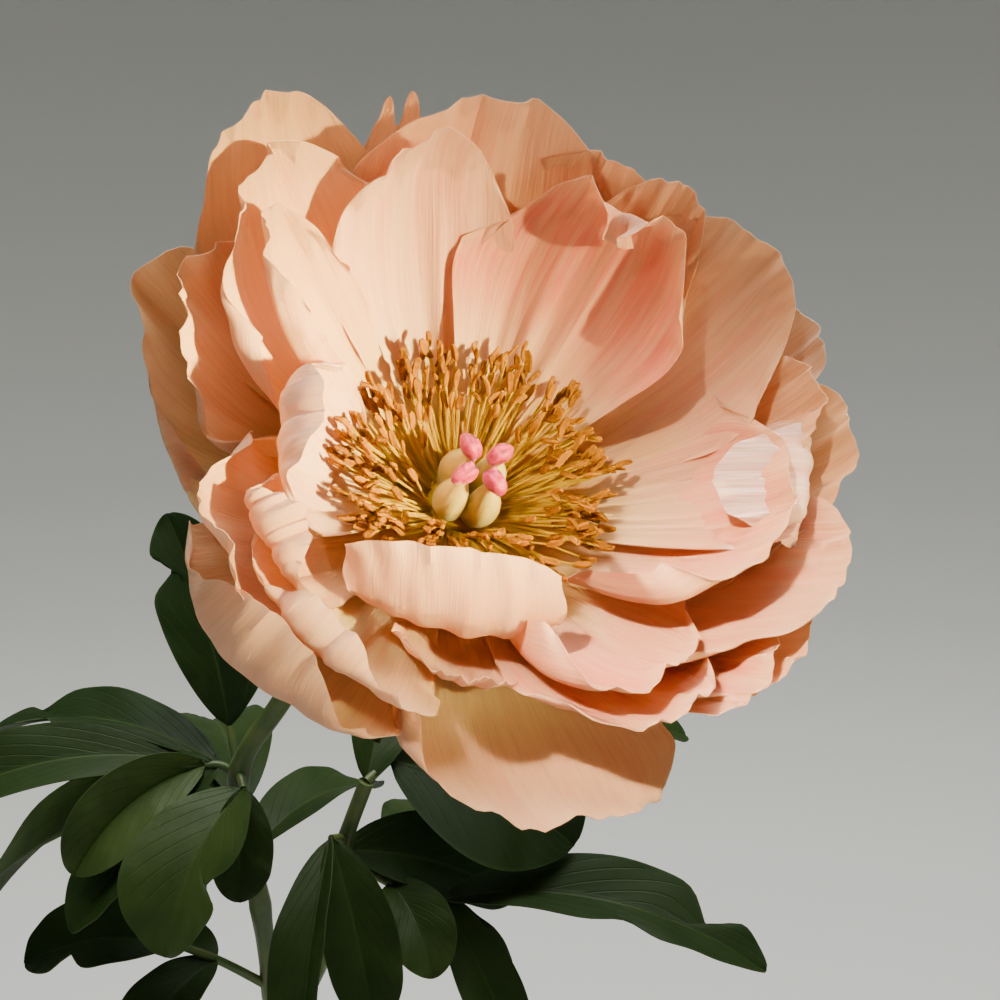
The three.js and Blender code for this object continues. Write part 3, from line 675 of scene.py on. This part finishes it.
leafForm = {
    "columns": 16, "rows": 38, "samples": 121, "thickness": 0.5, "rimShare": 0.5, "forward": 0.16,
    "lobeWidth": 0.07, "wave": 0.5, "wavePitch": 8, "quilt": 0.18, "veins": 9, "veinSlant": 0.3,
}
# light is painted light: how lit each leaf's green is made, 0 shaded to 1 lit
leafDefaults = {"droop": 40, "roll": 0, "twist": 0, "fold": 20, "lobes": [], "light": 0.3}


# at is the petiole's point, heading in plan from +X, rise up from level; lobes are (side, place, depth); light is
# the leaf's painted light, from shaded to lit green
def leaflet(at, heading, rise, length, width, **options):
    place = {"at": at, "heading": heading, "rise": rise, "length": length, "width": width}
    return {**leafDefaults, **place, **options}


# a petiole and the leaflets it carries
def spray(path, *leaflets):
    return {"path": path, "leaflets": leaflets}


# each leaflet's light value paints it as lying in shade or in light
floweringSprays = [
    # upper node, to the left
    spray([(-4, -21, 238), (-9, -21, 241), (-13, -21, 241)],
          leaflet(2, 181, 14, 92, 24, droop=56, roll=-32, light=0.2),
          leaflet(1, 150, 20, 88, 24, droop=50, roll=-10, lobes=[(1, 0.5, 0.6), (-1, 0.6, 0.5)], light=0.1),
          leaflet(2, 208, -6, 46, 24, droop=55, roll=-62, fold=34, light=0.9),
          leaflet(2, 181, -12, 104, 28, droop=62, roll=-38, twist=60, light=0.8),
          leaflet(1, 210, -32, 58, 22, droop=20, roll=-20, light=0.2)),
    # upper node, to the front
    spray([(-4, -21, 238), (-3, -25, 239), (-2, -28, 237)],
          leaflet(2, -122, -22, 50, 36, droop=50, lobes=[(1, 0.45, 0.5)], light=0.6),
          leaflet(2, -92, -52, 30, 18, droop=30, roll=-20, light=0.3)),
    # upper node, upright behind the bloom
    spray([(-4, -20, 238), (-6, -17, 245), (-7, -15, 250)],
          leaflet(2, 140, 78, 60, 25, droop=20, roll=-40, lobes=[(1, 0.6, 0.6), (-1, 0.5, 0.4)], light=0.1),
          leaflet(2, 75, 55, 56, 22, droop=40, light=0.1)),
    # middle node, to the back
    spray([(0, -14, 198), (-3, 2, 208), (-8, 16, 216)],
          leaflet(2, 105, 28, 70, 30, droop=50),
          leaflet(2, 150, 18, 66, 26, droop=50, lobes=[(1, 0.5, 0.5)]),
          leaflet(1, 60, 22, 62, 26, droop=45),
          leaflet(1, 172, 6, 58, 24, droop=50, roll=-10)),
    # lower node, low on the left
    spray([(2, -10, 172), (-12, -18, 184), (-22, -22, 190)],
          leaflet(2, 176, 12, 44, 26, droop=42, roll=-30, lobes=[(1, 0.5, 0.6)]),
          leaflet(1, 232, -8, 42, 20, droop=40, roll=-20),
          leaflet(1, 140, 10, 44, 22, droop=40)),
]
# each leaflet's light value paints it as lying in shade or in light
shootSprays = [
    # tip of the shoot, behind and below the bloom
    spray([(30, -20, 236), (36, -14, 240), (44, -8, 244)],
          leaflet(1, -4, -8, 56, 42, droop=34, roll=62, light=0.1),
          leaflet(2, 22, 12, 84, 30, droop=38, roll=20, lobes=[(1, 0.5, 0.5)]),
          leaflet(1, 58, -4, 62, 26, droop=40, roll=10),
          leaflet(0, 75, 52, 54, 24, droop=30, roll=30)),
    # long leaf to the right
    spray([(23, -16, 215), (36, -20, 207), (50, -22, 203)],
          leaflet(2, -6, 14, 92, 27, droop=50, roll=22, lobes=[(1, 0.66, 0.75), (-1, 0.4, 0.4)], light=0.2),
          leaflet(1, -60, -6, 32, 20, droop=60, roll=20, light=0.5),
          leaflet(2, -44, -40, 50, 18, droop=30, roll=30),
          leaflet(0, 14, -6, 52, 30, droop=30, roll=38, light=0.2)),
    # hanging to the front
    spray([(23, -16, 215), (23, -23, 221), (21, -28, 223)],
          leaflet(2, -99, -34, 66, 22, droop=38, roll=30, fold=30, light=0.4),
          leaflet(2, -60, -52, 52, 22, droop=20, roll=10)),
    # lower node, to the back right
    spray([(18, -6, 184), (30, 4, 192), (38, 10, 196)],
          leaflet(2, 20, 12, 64, 26, droop=50),
          leaflet(2, 82, 26, 56, 24, droop=50, lobes=[(-1, 0.5, 0.5)]),
          leaflet(1, -12, -10, 44, 20, droop=30, roll=10)),
]


# the same leaf as the solid one: a rib that bends down, halves folded up along it, side lobes cut forward
def leafSurface(base, leaf, draw):
    form = leafForm
    share = np.linspace(0, 1, form["samples"])
    pitch = np.radians(leaf["rise"] - leaf["droop"] * share)
    heading = math.radians(leaf["heading"])
    plan = np.cos(pitch)
    tangents = stack(plan * math.cos(heading), plan * math.sin(heading), np.sin(pitch))
    steps = tangents[:-1] * leaf["length"] * share[1]
    places = np.concatenate([[[0, 0, 0]], np.cumsum(steps, axis=0)]) + np.array(base)
    level = np.array([-math.sin(heading), math.cos(heading), 0])

    def place(u, v):
        along = np.minimum(v + form["forward"] * np.abs(u) * np.sin(np.pi * v) ** 0.8, 1)
        start, tangent = (stack(*(np.interp(along, share, table[:, k]) for k in range(3)))
                          for table in (places, tangents))
        halfWidth = (leaf["width"] / 2) * np.sin(np.pi * v ** 0.8) ** 0.75
        for side, where, depth in leaf["lobes"]:
            cut = depth * np.exp(-(((v - where) / form["lobeWidth"]) ** 2))
            halfWidth = halfWidth * (1 - cut * (side * u > 0))
        halfWidth = np.maximum(halfWidth, 0.3)
        upward = np.cross(tangent, level)
        turn = np.radians(leaf["roll"] + leaf["twist"] * along)[..., None]
        across = level * np.cos(turn) + upward * np.sin(turn)
        normal = upward * np.cos(turn) - level * np.sin(turn)
        fold = math.radians(leaf["fold"])
        ripple = wobble(v + 0.3 * np.sign(u), draw, form["wavePitch"])
        waver = form["wave"] * np.abs(u) * ripple * ease(0, 0.2, v)
        run = (v - form["veinSlant"] * np.abs(u)) * 2 * np.pi * form["veins"]
        quilt = form["quilt"] * np.sin(run) * np.abs(u) * (1 - np.abs(u)) * 4
        out = (halfWidth * u * math.cos(fold))[..., None]
        up = (halfWidth * np.abs(u) * math.sin(fold) + waver + quilt)[..., None]
        return start + across * out + normal * up

    return place


def makeLeafSkin(name, look):
    skin, paper = newSkin(name)
    across, along, light, seed = attributes(paper, "across", "along", "light", "seed")
    side = across.size()
    midrib = 1 - side.step(0.015, 0.07)
    run = ((along - side * leafForm["veinSlant"]) * leafForm["veins"]).fraction()
    sideVein = (1 - (run - 0.5).size().step(0, 0.09)) * side.step(0.02, 0.1) * (1 - side.step(0.75, 1))
    blotch = noise(paper, 60)
    grain = noise(paper, 900, 2)
    rim = side.step(0.93, 1)
    # painted light: each leaf's light value mixes a shaded green and a lit green, so leaves in shade are painted
    # darker
    colour = layered(light.mixed(look["shadedGreen"], look["light"]),
                     (blotch.step(0.35, 0.7), 0.45, look["blotch"]), (midrib, look["midribShare"], look["midrib"]),
                     (sideVein, look["veinShare"], look["midrib"]), (rim, 0.35, look["midrib"]))
    height = grain * 0.25 - midrib * 0.8 - sideVein * 0.45
    finishSkin(paper, {
        "Base Color": colour,
        "Roughness": look["roughness"] + grain * 0.15 + seed * 0.05,
        "Specular IOR Level": look["gloss"],
    }, bump=(height * look["relief"], 0.6, 0.3 * mm), through=(look["through"], look["glow"]))
    return skin


# the shaded and lit greens are painted shade and painted light on one leaf colour
leafUpper = makeLeafSkin("leafUpper", {
    "shadedGreen": rgb(0.006, 0.02, 0.003), "light": rgb(0.06, 0.1, 0.022), "blotch": rgb(0.008, 0.024, 0.004),
    "midrib": rgb(0.04, 0.072, 0.016), "midribShare": 0.5, "veinShare": 0.15, "roughness": 0.38, "gloss": 0.15,
    "relief": 0.8, "through": 0.06, "glow": rgb(0.2, 0.4, 0.04),
})
leafUnder = makeLeafSkin("leafUnder", {
    "shadedGreen": rgb(0.022, 0.042, 0.014), "light": rgb(0.05, 0.08, 0.022), "blotch": rgb(0.03, 0.055, 0.018),
    "midrib": rgb(0.07, 0.1, 0.035), "midribShare": 0.6, "veinShare": 0.25, "roughness": 0.52, "gloss": 0.14,
    "relief": -0.8, "through": 0.06, "glow": rgb(0.2, 0.4, 0.04),
})


def makeStemSkin():
    skin, paper = newSkin("stemSkin")
    stretched = paper.node("Mapping", inputs={"Vector": objectPlace(paper), "Scale": (1, 1, 0.12)})
    stripes = noise(paper, 700, place=stretched)
    blotch = noise(paper, 70)
    colour = layered(blotch.step(0.35, 0.68).mixed(rgb(0.045, 0.085, 0.018), rgb(0.09, 0.13, 0.028)),
                     (stripes.step(0.5, 0.75), 0.5, rgb(0.12, 0.08, 0.03)))
    finishSkin(paper, {"Base Color": colour, "Roughness": 0.36 + blotch * 0.15, "Specular IOR Level": 0.45},
               bump=(stripes, 0.3, 0.2 * mm))
    return skin


stemSkin = makeStemSkin()


# a leaf, sepal or bract, thinner towards its sides, carrying its painted light value for the shaded or lit green
def makeGreenBlade(form, surface, light, draw):
    thing = layGrid(form["columns"], form["rows"], surface)
    paint(thing.data, light=light, seed=draw.random())
    wear(thing, leafUnder, leafUpper)
    side = np.abs(painted(thing.data, "across"))
    thicken(thing, form["thickness"], 1 - (1 - form["rimShare"]) * ease(0.6, 1, side))
    return thing


petioleForm = {"radius": 1.4, "endShare": 0.75}


# a stem with its sprays of leaflets
def makeShoot(name, stem, sprays, draw):
    parts = [makeStem(name, stem["path"], stem["radius"], stem["nodes"])]
    wear(parts[0], stemSkin)
    for branch in sprays:
        petiole = makeStem("petiole", branch["path"], petioleForm["radius"], (), petioleForm["endShare"], 6)
        wear(petiole, stemSkin)
        parts.append(petiole)
        for leaf in branch["leaflets"]:
            surface = leafSurface(branch["path"][leaf["at"]], leaf, draw)
            parts.append(makeGreenBlade(leafForm, surface, leaf["light"], draw))
    return parts


mainStem = {
    "radius": 2.7,
    "path": [(-2, 1, 8.5), (0, -3, 80), (3, -7.4, 150), (0, -14, 198), (-4, -21, 238), (8, -27, 260),
             (26, -36, 286), (43, -47, 305), (54.5, -65, 318.5)],
    "nodes": [(-4, -21, 238), (0, -14, 198), (2, -10, 172)],
}
sideShoot = {
    "radius": 2.2,
    "path": [(-1, 7, 8.5), (3, 6.5, 80), (6.2, 5.4, 150), (18, -6, 184), (23, -16, 215), (30, -20, 236)],
    "nodes": [(23, -16, 215), (18, -6, 184)],
}

# sepals and bracts hang below the receptacle; root is their radius and height there; their light is painted light,
# a fairly lit green
sepalForm = {"columns": 14, "rows": 24, "thickness": 0.7, "rimShare": 0.6, "fineness": 0.5, "light": 0.75}
sepalRoot = (8.3, -8.8)
bract = {"root": sepalRoot, "cup": 40, "wave": 0, "roll": 0, "peak": 0.5, "square": 0.15, "blunt": 0}
sepal = {"root": sepalRoot, "width": 22, "start": 118, "cup": 36, "wave": 0, "roll": 0, "claw": 0.4}
sepals = [
    petal(254, 55, -20, **bract, width=15, start=112),
    petal(120, 44, -24, **bract, width=14, start=116),
    petal(190, 25, -22, **sepal),
    petal(325, 26, -23, **sepal),
    petal(50, 26, -22, **sepal),
]

draw = random.Random(21)
cup = turnOutline("calyxCup", [(3.2, -14), (5.2, -13.2), (7.5, -11.8), (9.3, -10.4), (10.2, -9), (9.8, -5.7)], 40)
seatInBloom(cup)
paint(cup.data, across=0.4, along=0.5, light=0.5, seed=0.5)
wear(cup, stemSkin)
calyx = [makeGreenBlade(sepalForm, petalSurface(p, draw, sepalForm["fineness"]), sepalForm["light"], draw)
         for p in sepals]
stemParts = makeShoot("mainStem", mainStem, floweringSprays, draw)
dress(joinAll([*stemParts, cup, *calyx], "flowering_stem_green"), "flowering_stem", 55)
shootParts = makeShoot("sideShoot", sideShoot, shootSprays, draw)
dress(joinAll(shootParts, "leafy_shoot_green"), "leafy_shoot", 55)


# stamens

# they reach less far where the front petal crowds them; the anther is (length, width, depth)
stamenForm = {
    "count": 350, "goldenAngle": 137.508, "foot": 7.3, "footHeight": 3.3, "firstReach": 15, "lastReach": 37,
    "outerShare": 0.4, "top": 24, "fall": 5, "topScatter": (-2.5, 4.5),
    "crowdedAt": 262, "crowdedWidth": 0.75, "crowdedBy": 12,
    "filament": 0.38, "filamentRings": (1, 0.9, 0.85, 0.8, 0.75, 0.6), "filamentSides": 4,
    "anther": (4.9, 0.92, 0.7), "antherRings": (0.55, 0.95, 1, 1, 0.95, 0.55), "antherSides": 8,
    "disc": [(6.6, 2.3), (8.3, 3), (8.6, 3.5), (8.2, 4), (6.8, 4.1)],
}


# a closed tube of rings along a line; a section holds the (x, y) points of one ring
def loftRings(line, side, sections):
    tangents = np.gradient(line, axis=0)
    tangents /= np.linalg.norm(tangents, axis=1, keepdims=True)
    rings = []
    for point, tangent, section in zip(line, tangents, sections):
        first = side - tangent * np.dot(side, tangent)
        first /= np.linalg.norm(first)
        second = np.cross(tangent, first)
        rings.append(point + section[:, :1] * first + section[:, 1:] * second)
    count = len(rings[0])
    faces = [[(count - 1 - k) for k in range(count)]]
    for j in range(len(rings) - 1):
        for k in range(count):
            a, b = j * count + k, j * count + (k + 1) % count
            faces.append([a, b, b + count, a + count])
    faces.append([(len(rings) - 1) * count + k for k in range(count)])
    return np.concatenate(rings), faces


def circle(radius, sides):
    angles = np.arange(sides) * 2 * np.pi / sides
    return stack(radius * np.cos(angles), radius * np.sin(angles))


# an anther's section: two swollen halves with a groove between them on each side
def antherSection(width, depth, share, twist):
    angles = np.arange(stamenForm["antherSides"]) * 2 * np.pi / stamenForm["antherSides"]
    swell = 0.62 + 0.38 * np.abs(np.cos(angles)) ** 0.7
    groove = 0.55 + 0.45 * np.abs(np.sin(2 * angles))
    points = stack(width * swell * np.cos(angles), depth * groove * np.sin(angles))
    turn = np.array([[math.cos(twist), -math.sin(twist)], [math.sin(twist), math.cos(twist)]])
    return (points * share) @ turn.T


# the rings of one stamen's filament and anther, each with its places along for the colour
def stamenParts(k, draw):
    form = stamenForm
    upward = np.array([0, 0, 1])
    azimuth = math.radians(form["goldenAngle"] * k + draw.uniform(-4, 4))
    azimuth += 0.07 * math.sin(11 * azimuth + 1) + 0.05 * math.sin(19 * azimuth)
    share = ((k + 0.5) / form["count"]) ** form["outerShare"]
    fromCrowd = abs(azimuth % (2 * math.pi) - math.radians(form["crowdedAt"])) / form["crowdedWidth"]
    crowded = math.exp(-(fromCrowd ** 2))
    reach = form["firstReach"] + (form["lastReach"] - form["firstReach"] - form["crowdedBy"] * crowded) * share
    reach *= draw.uniform(0.88, 1.03) + 0.05 * math.sin(7 * azimuth)
    top = form["top"] - form["fall"] * share + draw.uniform(*form["topScatter"])
    outward = np.array([math.cos(azimuth), math.sin(azimuth), 0])
    level = np.array([-math.sin(azimuth), math.cos(azimuth), 0])
    foot = outward * (form["foot"] + share) + upward * form["footHeight"]
    end = outward * reach + upward * top
    length = np.linalg.norm(end - foot)
    size = draw.uniform(0.8, 1.1)
    antherLength, antherWidth, antherDepth = (value * size for value in form["anther"])
    bow = draw.uniform(-1.6, 1.6)
    sag = draw.uniform(-0.5, 2.2)
    t = np.linspace(0, 1 - antherLength / length, len(form["filamentRings"]))[:, None]
    line = foot + (end - foot) * t + level * bow * np.sin(np.pi * t) - upward * sag * np.sin(np.pi * t)
    tone = draw.random()
    rings = [circle(form["filament"] * radius, form["filamentSides"]) for radius in form["filamentRings"]]
    filament = loftRings(line, level, rings), np.repeat(t[:, 0] * 0.7, form["filamentSides"])

    heading = (line[-1] - line[-2]) / np.linalg.norm(line[-1] - line[-2])
    heading = heading + level * draw.uniform(-0.6, 0.6) + upward * draw.uniform(-0.5, 0.5)
    heading /= np.linalg.norm(heading)
    arch = draw.uniform(-1.2, 1.2)
    s = np.linspace(0, 1, len(form["antherRings"]))
    tip = line[-1] - heading * 0.5
    line = tip + np.outer(s, heading) * antherLength + np.outer(np.sin(np.pi * s), level) * arch * 0.5
    line = line + np.outer(s ** 2, upward) * draw.uniform(-0.8, 0.8)
    twist = draw.uniform(0, math.pi)
    turn = draw.uniform(-1.2, 1.2)
    rings = [antherSection(antherWidth, antherDepth, fat, twist + turn * place)
             for fat, place in zip(form["antherRings"], s)]
    anther = loftRings(line, level + 0.01, rings), np.repeat(0.8 + 0.2 * s, form["antherSides"])
    return tone, (filament, anther)


def makeStamens():
    draw = random.Random(11)
    points, faces, kinds, tones, shares = [], [], [], [], []
    for k in range(stamenForm["count"]):
        tone, parts = stamenParts(k, draw)
        for kind, ((vertices, polygons), along) in enumerate(parts):
            start = len(tones)
            points.append(vertices)
            faces.extend([[index + start for index in polygon] for polygon in polygons])
            kinds.extend([kind] * len(polygons))
            tones.extend([tone] * len(vertices))
            shares.extend(along)

    mesh = bpy.data.meshes.new("stamens_fine")
    mesh.from_pydata((fromBloom(np.concatenate(points)) * mm).tolist(), [], faces)
    mesh.polygons.foreach_set("material_index", kinds)
    paint(mesh, tone=np.array(tones), along=np.array(shares))
    disc = turnOutline("stamens_disc", stamenForm["disc"], 36)
    seatInBloom(disc)
    paint(disc.data, tone=0.5, along=0)
    return addObject("stamens_fine", mesh), disc


filamentSkin, paper = newSkin("filamentSkin")
tone, along = attributes(paper, "tone", "along")
colour = layered(tone.mixed(rgb(0.48, 0.3, 0), rgb(0.66, 0.44, 0)), (along.step(0, 0.5), 0.4, rgb(0.7, 0.48, 0)))
finishSkin(paper, {"Base Color": colour, "Roughness": 0.5, "Specular IOR Level": 0.02},
           through=(0.4, rgb(0.8, 0.6, 0)))

antherSkin, paper = newSkin("antherSkin")
tone, = attributes(paper, "tone")
pits = noise(paper, 900)
colour = layered(tone.mixed(rgb(0.14, 0.045, 0), rgb(0.34, 0.13, 0)),
                 (pits.step(0.42, 0.66), 0.35, rgb(0.44, 0.22, 0)))
finishSkin(paper, {"Base Color": colour, "Roughness": 0.55 + pits * 0.2, "Specular IOR Level": 0.04},
           bump=(pits, 0.5, 0.25 * mm))

stamens = makeStamens()
for thing in stamens:
    wear(thing, filamentSkin, antherSkin)
dress(joinAll(stamens, "stamens_fine"), "stamens", 60)


# carpels

# profile gives shares of radius and length; the crest is a stigma's (length, width, height)
carpelForm = {
    "count": 4, "length": 24, "radius": 4.1, "offset": 3.7, "foot": 1.8, "belly": 1.8, "first": 35,
    "profile": [(0.6, 0.07), (0.88, 0.18), (1, 0.32), (1, 0.44), (0.88, 0.57), (0.66, 0.69), (0.42, 0.79)],
    "crest": (3.7, 2.2, 3), "crestTilt": -25, "crestOut": 0.9,
}


def makeCarpelSkins():
    skin, paper = newSkin("carpelSkin")
    along, = attributes(paper, "along")
    down = noise(paper, 1400)
    patch = noise(paper, 180)
    colour = layered(along.step(0.1, 0.8).mixed(rgb(0.36, 0.28, 0.03), rgb(0.66, 0.5, 0.1)),
                     (patch.step(0.4, 0.7), 0.5, rgb(0.74, 0.58, 0.15)))
    finishSkin(paper, {"Base Color": colour, "Roughness": 0.5, "Sheen Weight": 0.15, "Sheen Roughness": 0.4},
               bump=(down, 0.5, 0.2 * mm), through=(0.15, rgb(0.8, 0.7, 0.25)))
    tip, paper = newSkin("stigmaSkin")
    grain = noise(paper, 1100)
    colour = grain.step(0.35, 0.7).mixed(rgb(0.4, 0.012, 0.05), rgb(0.62, 0.045, 0.14))
    finishSkin(paper, {"Base Color": colour, "Roughness": 0.45, "Sheen Weight": 0.3, "Sheen Roughness": 0.4},
               bump=(grain, 0.6, 0.3 * mm), through=(0.15, rgb(0.7, 0.05, 0.12)))
    return skin, tip


carpelSkin, stigmaSkin = makeCarpelSkins()


# a carpel bows outward at its belly and leans in again at its tip
def bellyOut(points):
    bow = carpelForm["belly"] * np.sin(np.pi * np.clip(points[:, 2] / (carpelForm["length"] * mm), 0, 1))
    return points + stack(bow * mm, 0 * bow, 0 * bow)


# a crest that is longer than wide, folded along its middle and curled down at its ends
def shapeCrest(points, phase):
    x, y, z = (points / mm).T
    long, wide, tall = carpelForm["crest"]
    fold = 0.55 * np.exp(-((y / 0.35) ** 2)) * (z > 0)
    ripple = 1 + 0.16 * np.sin(5 * x + phase) * np.abs(x)
    out, side, up = long * x, wide * y * ripple, tall * z * ripple - fold * 1.4 - 0.9 * x ** 2
    tilt = math.radians(carpelForm["crestTilt"])
    tilted = stack(out * math.cos(tilt) + up * math.sin(tilt), side, up * math.cos(tilt) - out * math.sin(tilt))
    return (tilted + np.array([carpelForm["crestOut"], 0, carpelForm["length"]])) * mm


def makeCarpels():
    made = []
    length, radius = carpelForm["length"], carpelForm["radius"]
    outline = [(1.2, 0), *((radius * wide, length * tall) for wide, tall in carpelForm["profile"]),
               (1.1, 0.87 * length), (1, 0.97 * length)]
    for k in range(carpelForm["count"]):
        body = turnOutline("carpel", outline, 20)
        paint(body.data, along=readPlaces(body.data)[:, 2] / (length * mm))
        deselectAll()
        bpy.ops.mesh.primitive_uv_sphere_add(segments=20, ring_count=12, radius=1 * mm)
        tip = bpy.context.object
        paint(tip.data, along=1)
        moveVertices(tip, lambda points: shapeCrest(points, 1.3 * k))
        azimuth = math.radians(carpelForm["first"] + 360 * k / carpelForm["count"])
        around = Matrix.Rotation(azimuth, 4, "Z")
        for thing in (body, tip):
            wear(thing, carpelSkin, stigmaSkin)
            moveVertices(thing, bellyOut)
            outward = Vector((carpelForm["offset"], 0, carpelForm["foot"])) * mm
            thing.data.transform(around @ Matrix.Translation(outward))
            seatInBloom(thing)
            made.append(thing)
        tip.data.polygons.foreach_set("material_index", [1] * len(tip.data.polygons))
    return joinAll(made, "carpels_fine")


dress(makeCarpels(), "carpels", 60)


# vase and water

vaseForm = {
    "height": 150, "foot": 32, "belly": 41, "neck": 15.5, "lip": 17.5, "wall": 4.5, "floor": 8, "water": 104,
    "footRing": [(-4.5, 0.8), (-3.6, 0), (-1.4, 0), (-0.3, 0.9)], "steps": 42, "sides": 96,
}


# the outer curve: a uniform curve through the same points as the solid's
def vaseCurve():
    form = vaseForm
    foot, belly, neck, top = form["foot"], form["belly"], form["neck"], form["height"] - form["wall"] / 2
    points = np.array([(foot, 2), (belly - 1.5, 26), (belly, 46), (belly - 8, 76), (neck + 3, 104), (neck, 124),
                       (form["lip"], top)])
    last = len(points) - 1
    out = []
    for s in range(form["steps"] + 1):
        where = last * s / form["steps"]
        k = min(int(where), last - 1)
        t = where - k
        p0, p1, p2, p3 = points[max(k - 1, 0)], points[k], points[k + 1], points[min(k + 2, last)]
        v0, v1 = (p2 - p0) / 2, (p3 - p1) / 2
        cubic, square = 2 * p1 - 2 * p2 + v0 + v1, -3 * p1 + 3 * p2 - 2 * v0 - v1
        out.append(tuple((cubic * t ** 3 + square * t ** 2 + v0 * t + p1).tolist()))
    return out


outerCurve = vaseCurve()


def makeVase():
    form = vaseForm
    half = form["wall"] / 2
    foot = [(form["foot"] + out, up) for out, up in form["footRing"]]
    lipMiddle, lipTop = form["lip"] - half, form["height"] - half
    bends = [math.radians(degrees) for degrees in range(15, 180, 15)]
    lip = [(lipMiddle + half * math.cos(bend), lipTop + half * math.sin(bend)) for bend in bends]
    inside = [(r - form["wall"], z) for r, z in outerCurve if z > form["floor"] + 4]
    floorRadius = inside[0][0] - 2
    bottom = [(floorRadius, form["floor"] + 0.6), (floorRadius - 3, form["floor"]), (2, form["floor"])]
    return turnOutline("vase_glazed", [*foot, *outerCurve, *lip, *inside[::-1], *bottom], form["sides"])


def makeGlaze():
    skin, paper = newSkin("vaseGlaze")
    height = paper.node("SeparateXYZ", inputs={0: objectPlace(paper)}, output=2)
    drift = noise(paper, 22)
    speck = noise(paper, 420, 2)
    pool = (1 - height.step(0.002, 0.03)) * 0.5 + (1 - (height - 0.118).size().step(0, 0.022)) * 0.35
    bare = 1 - (height + drift * 0.001).step(0.0018, 0.0026)
    colour = layered(drift.step(0.3, 0.7).mixed(rgb(0.78, 0.76, 0.7), rgb(0.84, 0.82, 0.77)),
                     (pool, 0.5, rgb(0.66, 0.66, 0.6)), (speck.step(0.7, 0.74), 0.55, rgb(0.32, 0.24, 0.16)),
                     (bare, 1, rgb(0.55, 0.44, 0.33)))
    finishSkin(paper, {
        "Base Color": colour,
        "Roughness": bare * 0.6 + drift * 0.08 + 0.14,
        "Coat Weight": (1 - bare) * 0.35,
        "Coat Roughness": 0.06,
    }, bump=(drift * 0.8 + speck * 0.1, 0.15, 1 * mm))
    return skin


vase = makeVase()
wear(vase, makeGlaze())
dress(vase, "vase", 50)

waterForm = {"gap": 0.35, "stemGap": 0.9, "meniscus": [(0.3, -1.2), (0, 0), (-0.7, -0.5), (-2, -0.9)], "dip": 1}


# the water keeps clear of the wall and of the stems that stand in it, and rises a little at its rim
def makeWater():
    form = vaseForm
    inset = form["wall"] + waterForm["gap"]
    side = [(r - inset, z) for r, z in outerCurve if form["floor"] + 4 < z < form["water"] - 2]
    radii, heights = zip(*outerCurve)
    topRadius = np.interp(form["water"], heights, radii) - inset
    rim = [(topRadius + out, form["water"] + up) for out, up in waterForm["meniscus"]]
    first, last = (side[0][0] - 3, form["floor"] + waterForm["gap"]), (2, form["water"] - waterForm["dip"])
    body = turnOutline("water_clear", [first, *side, *rim, last], form["sides"])
    for stem in (mainStem, sideShoot):
        x, y, z = stem["path"][0]
        drill = makeStem("drill", [(x, y, z - 3), *stem["path"][:4]], stem["radius"] + waterForm["stemGap"])
        applyModifier(body, "BOOLEAN", {"object": drill, "operation": "DIFFERENCE", "solver": "EXACT"})
        bpy.data.objects.remove(drill)
    return body


skin, paper = newSkin("waterSkin")
ripple = noise(paper, 60, 2)
finishSkin(paper, {
    "Base Color": rgb(0.86, 0.93, 0.92), "Roughness": 0.03, "IOR": 1.33, "Alpha": 0.35,
}, bump=(ripple, 0.05, 1 * mm))
water = makeWater()
water.data.materials.clear()
wear(water, skin)
dress(water, "water", 50)
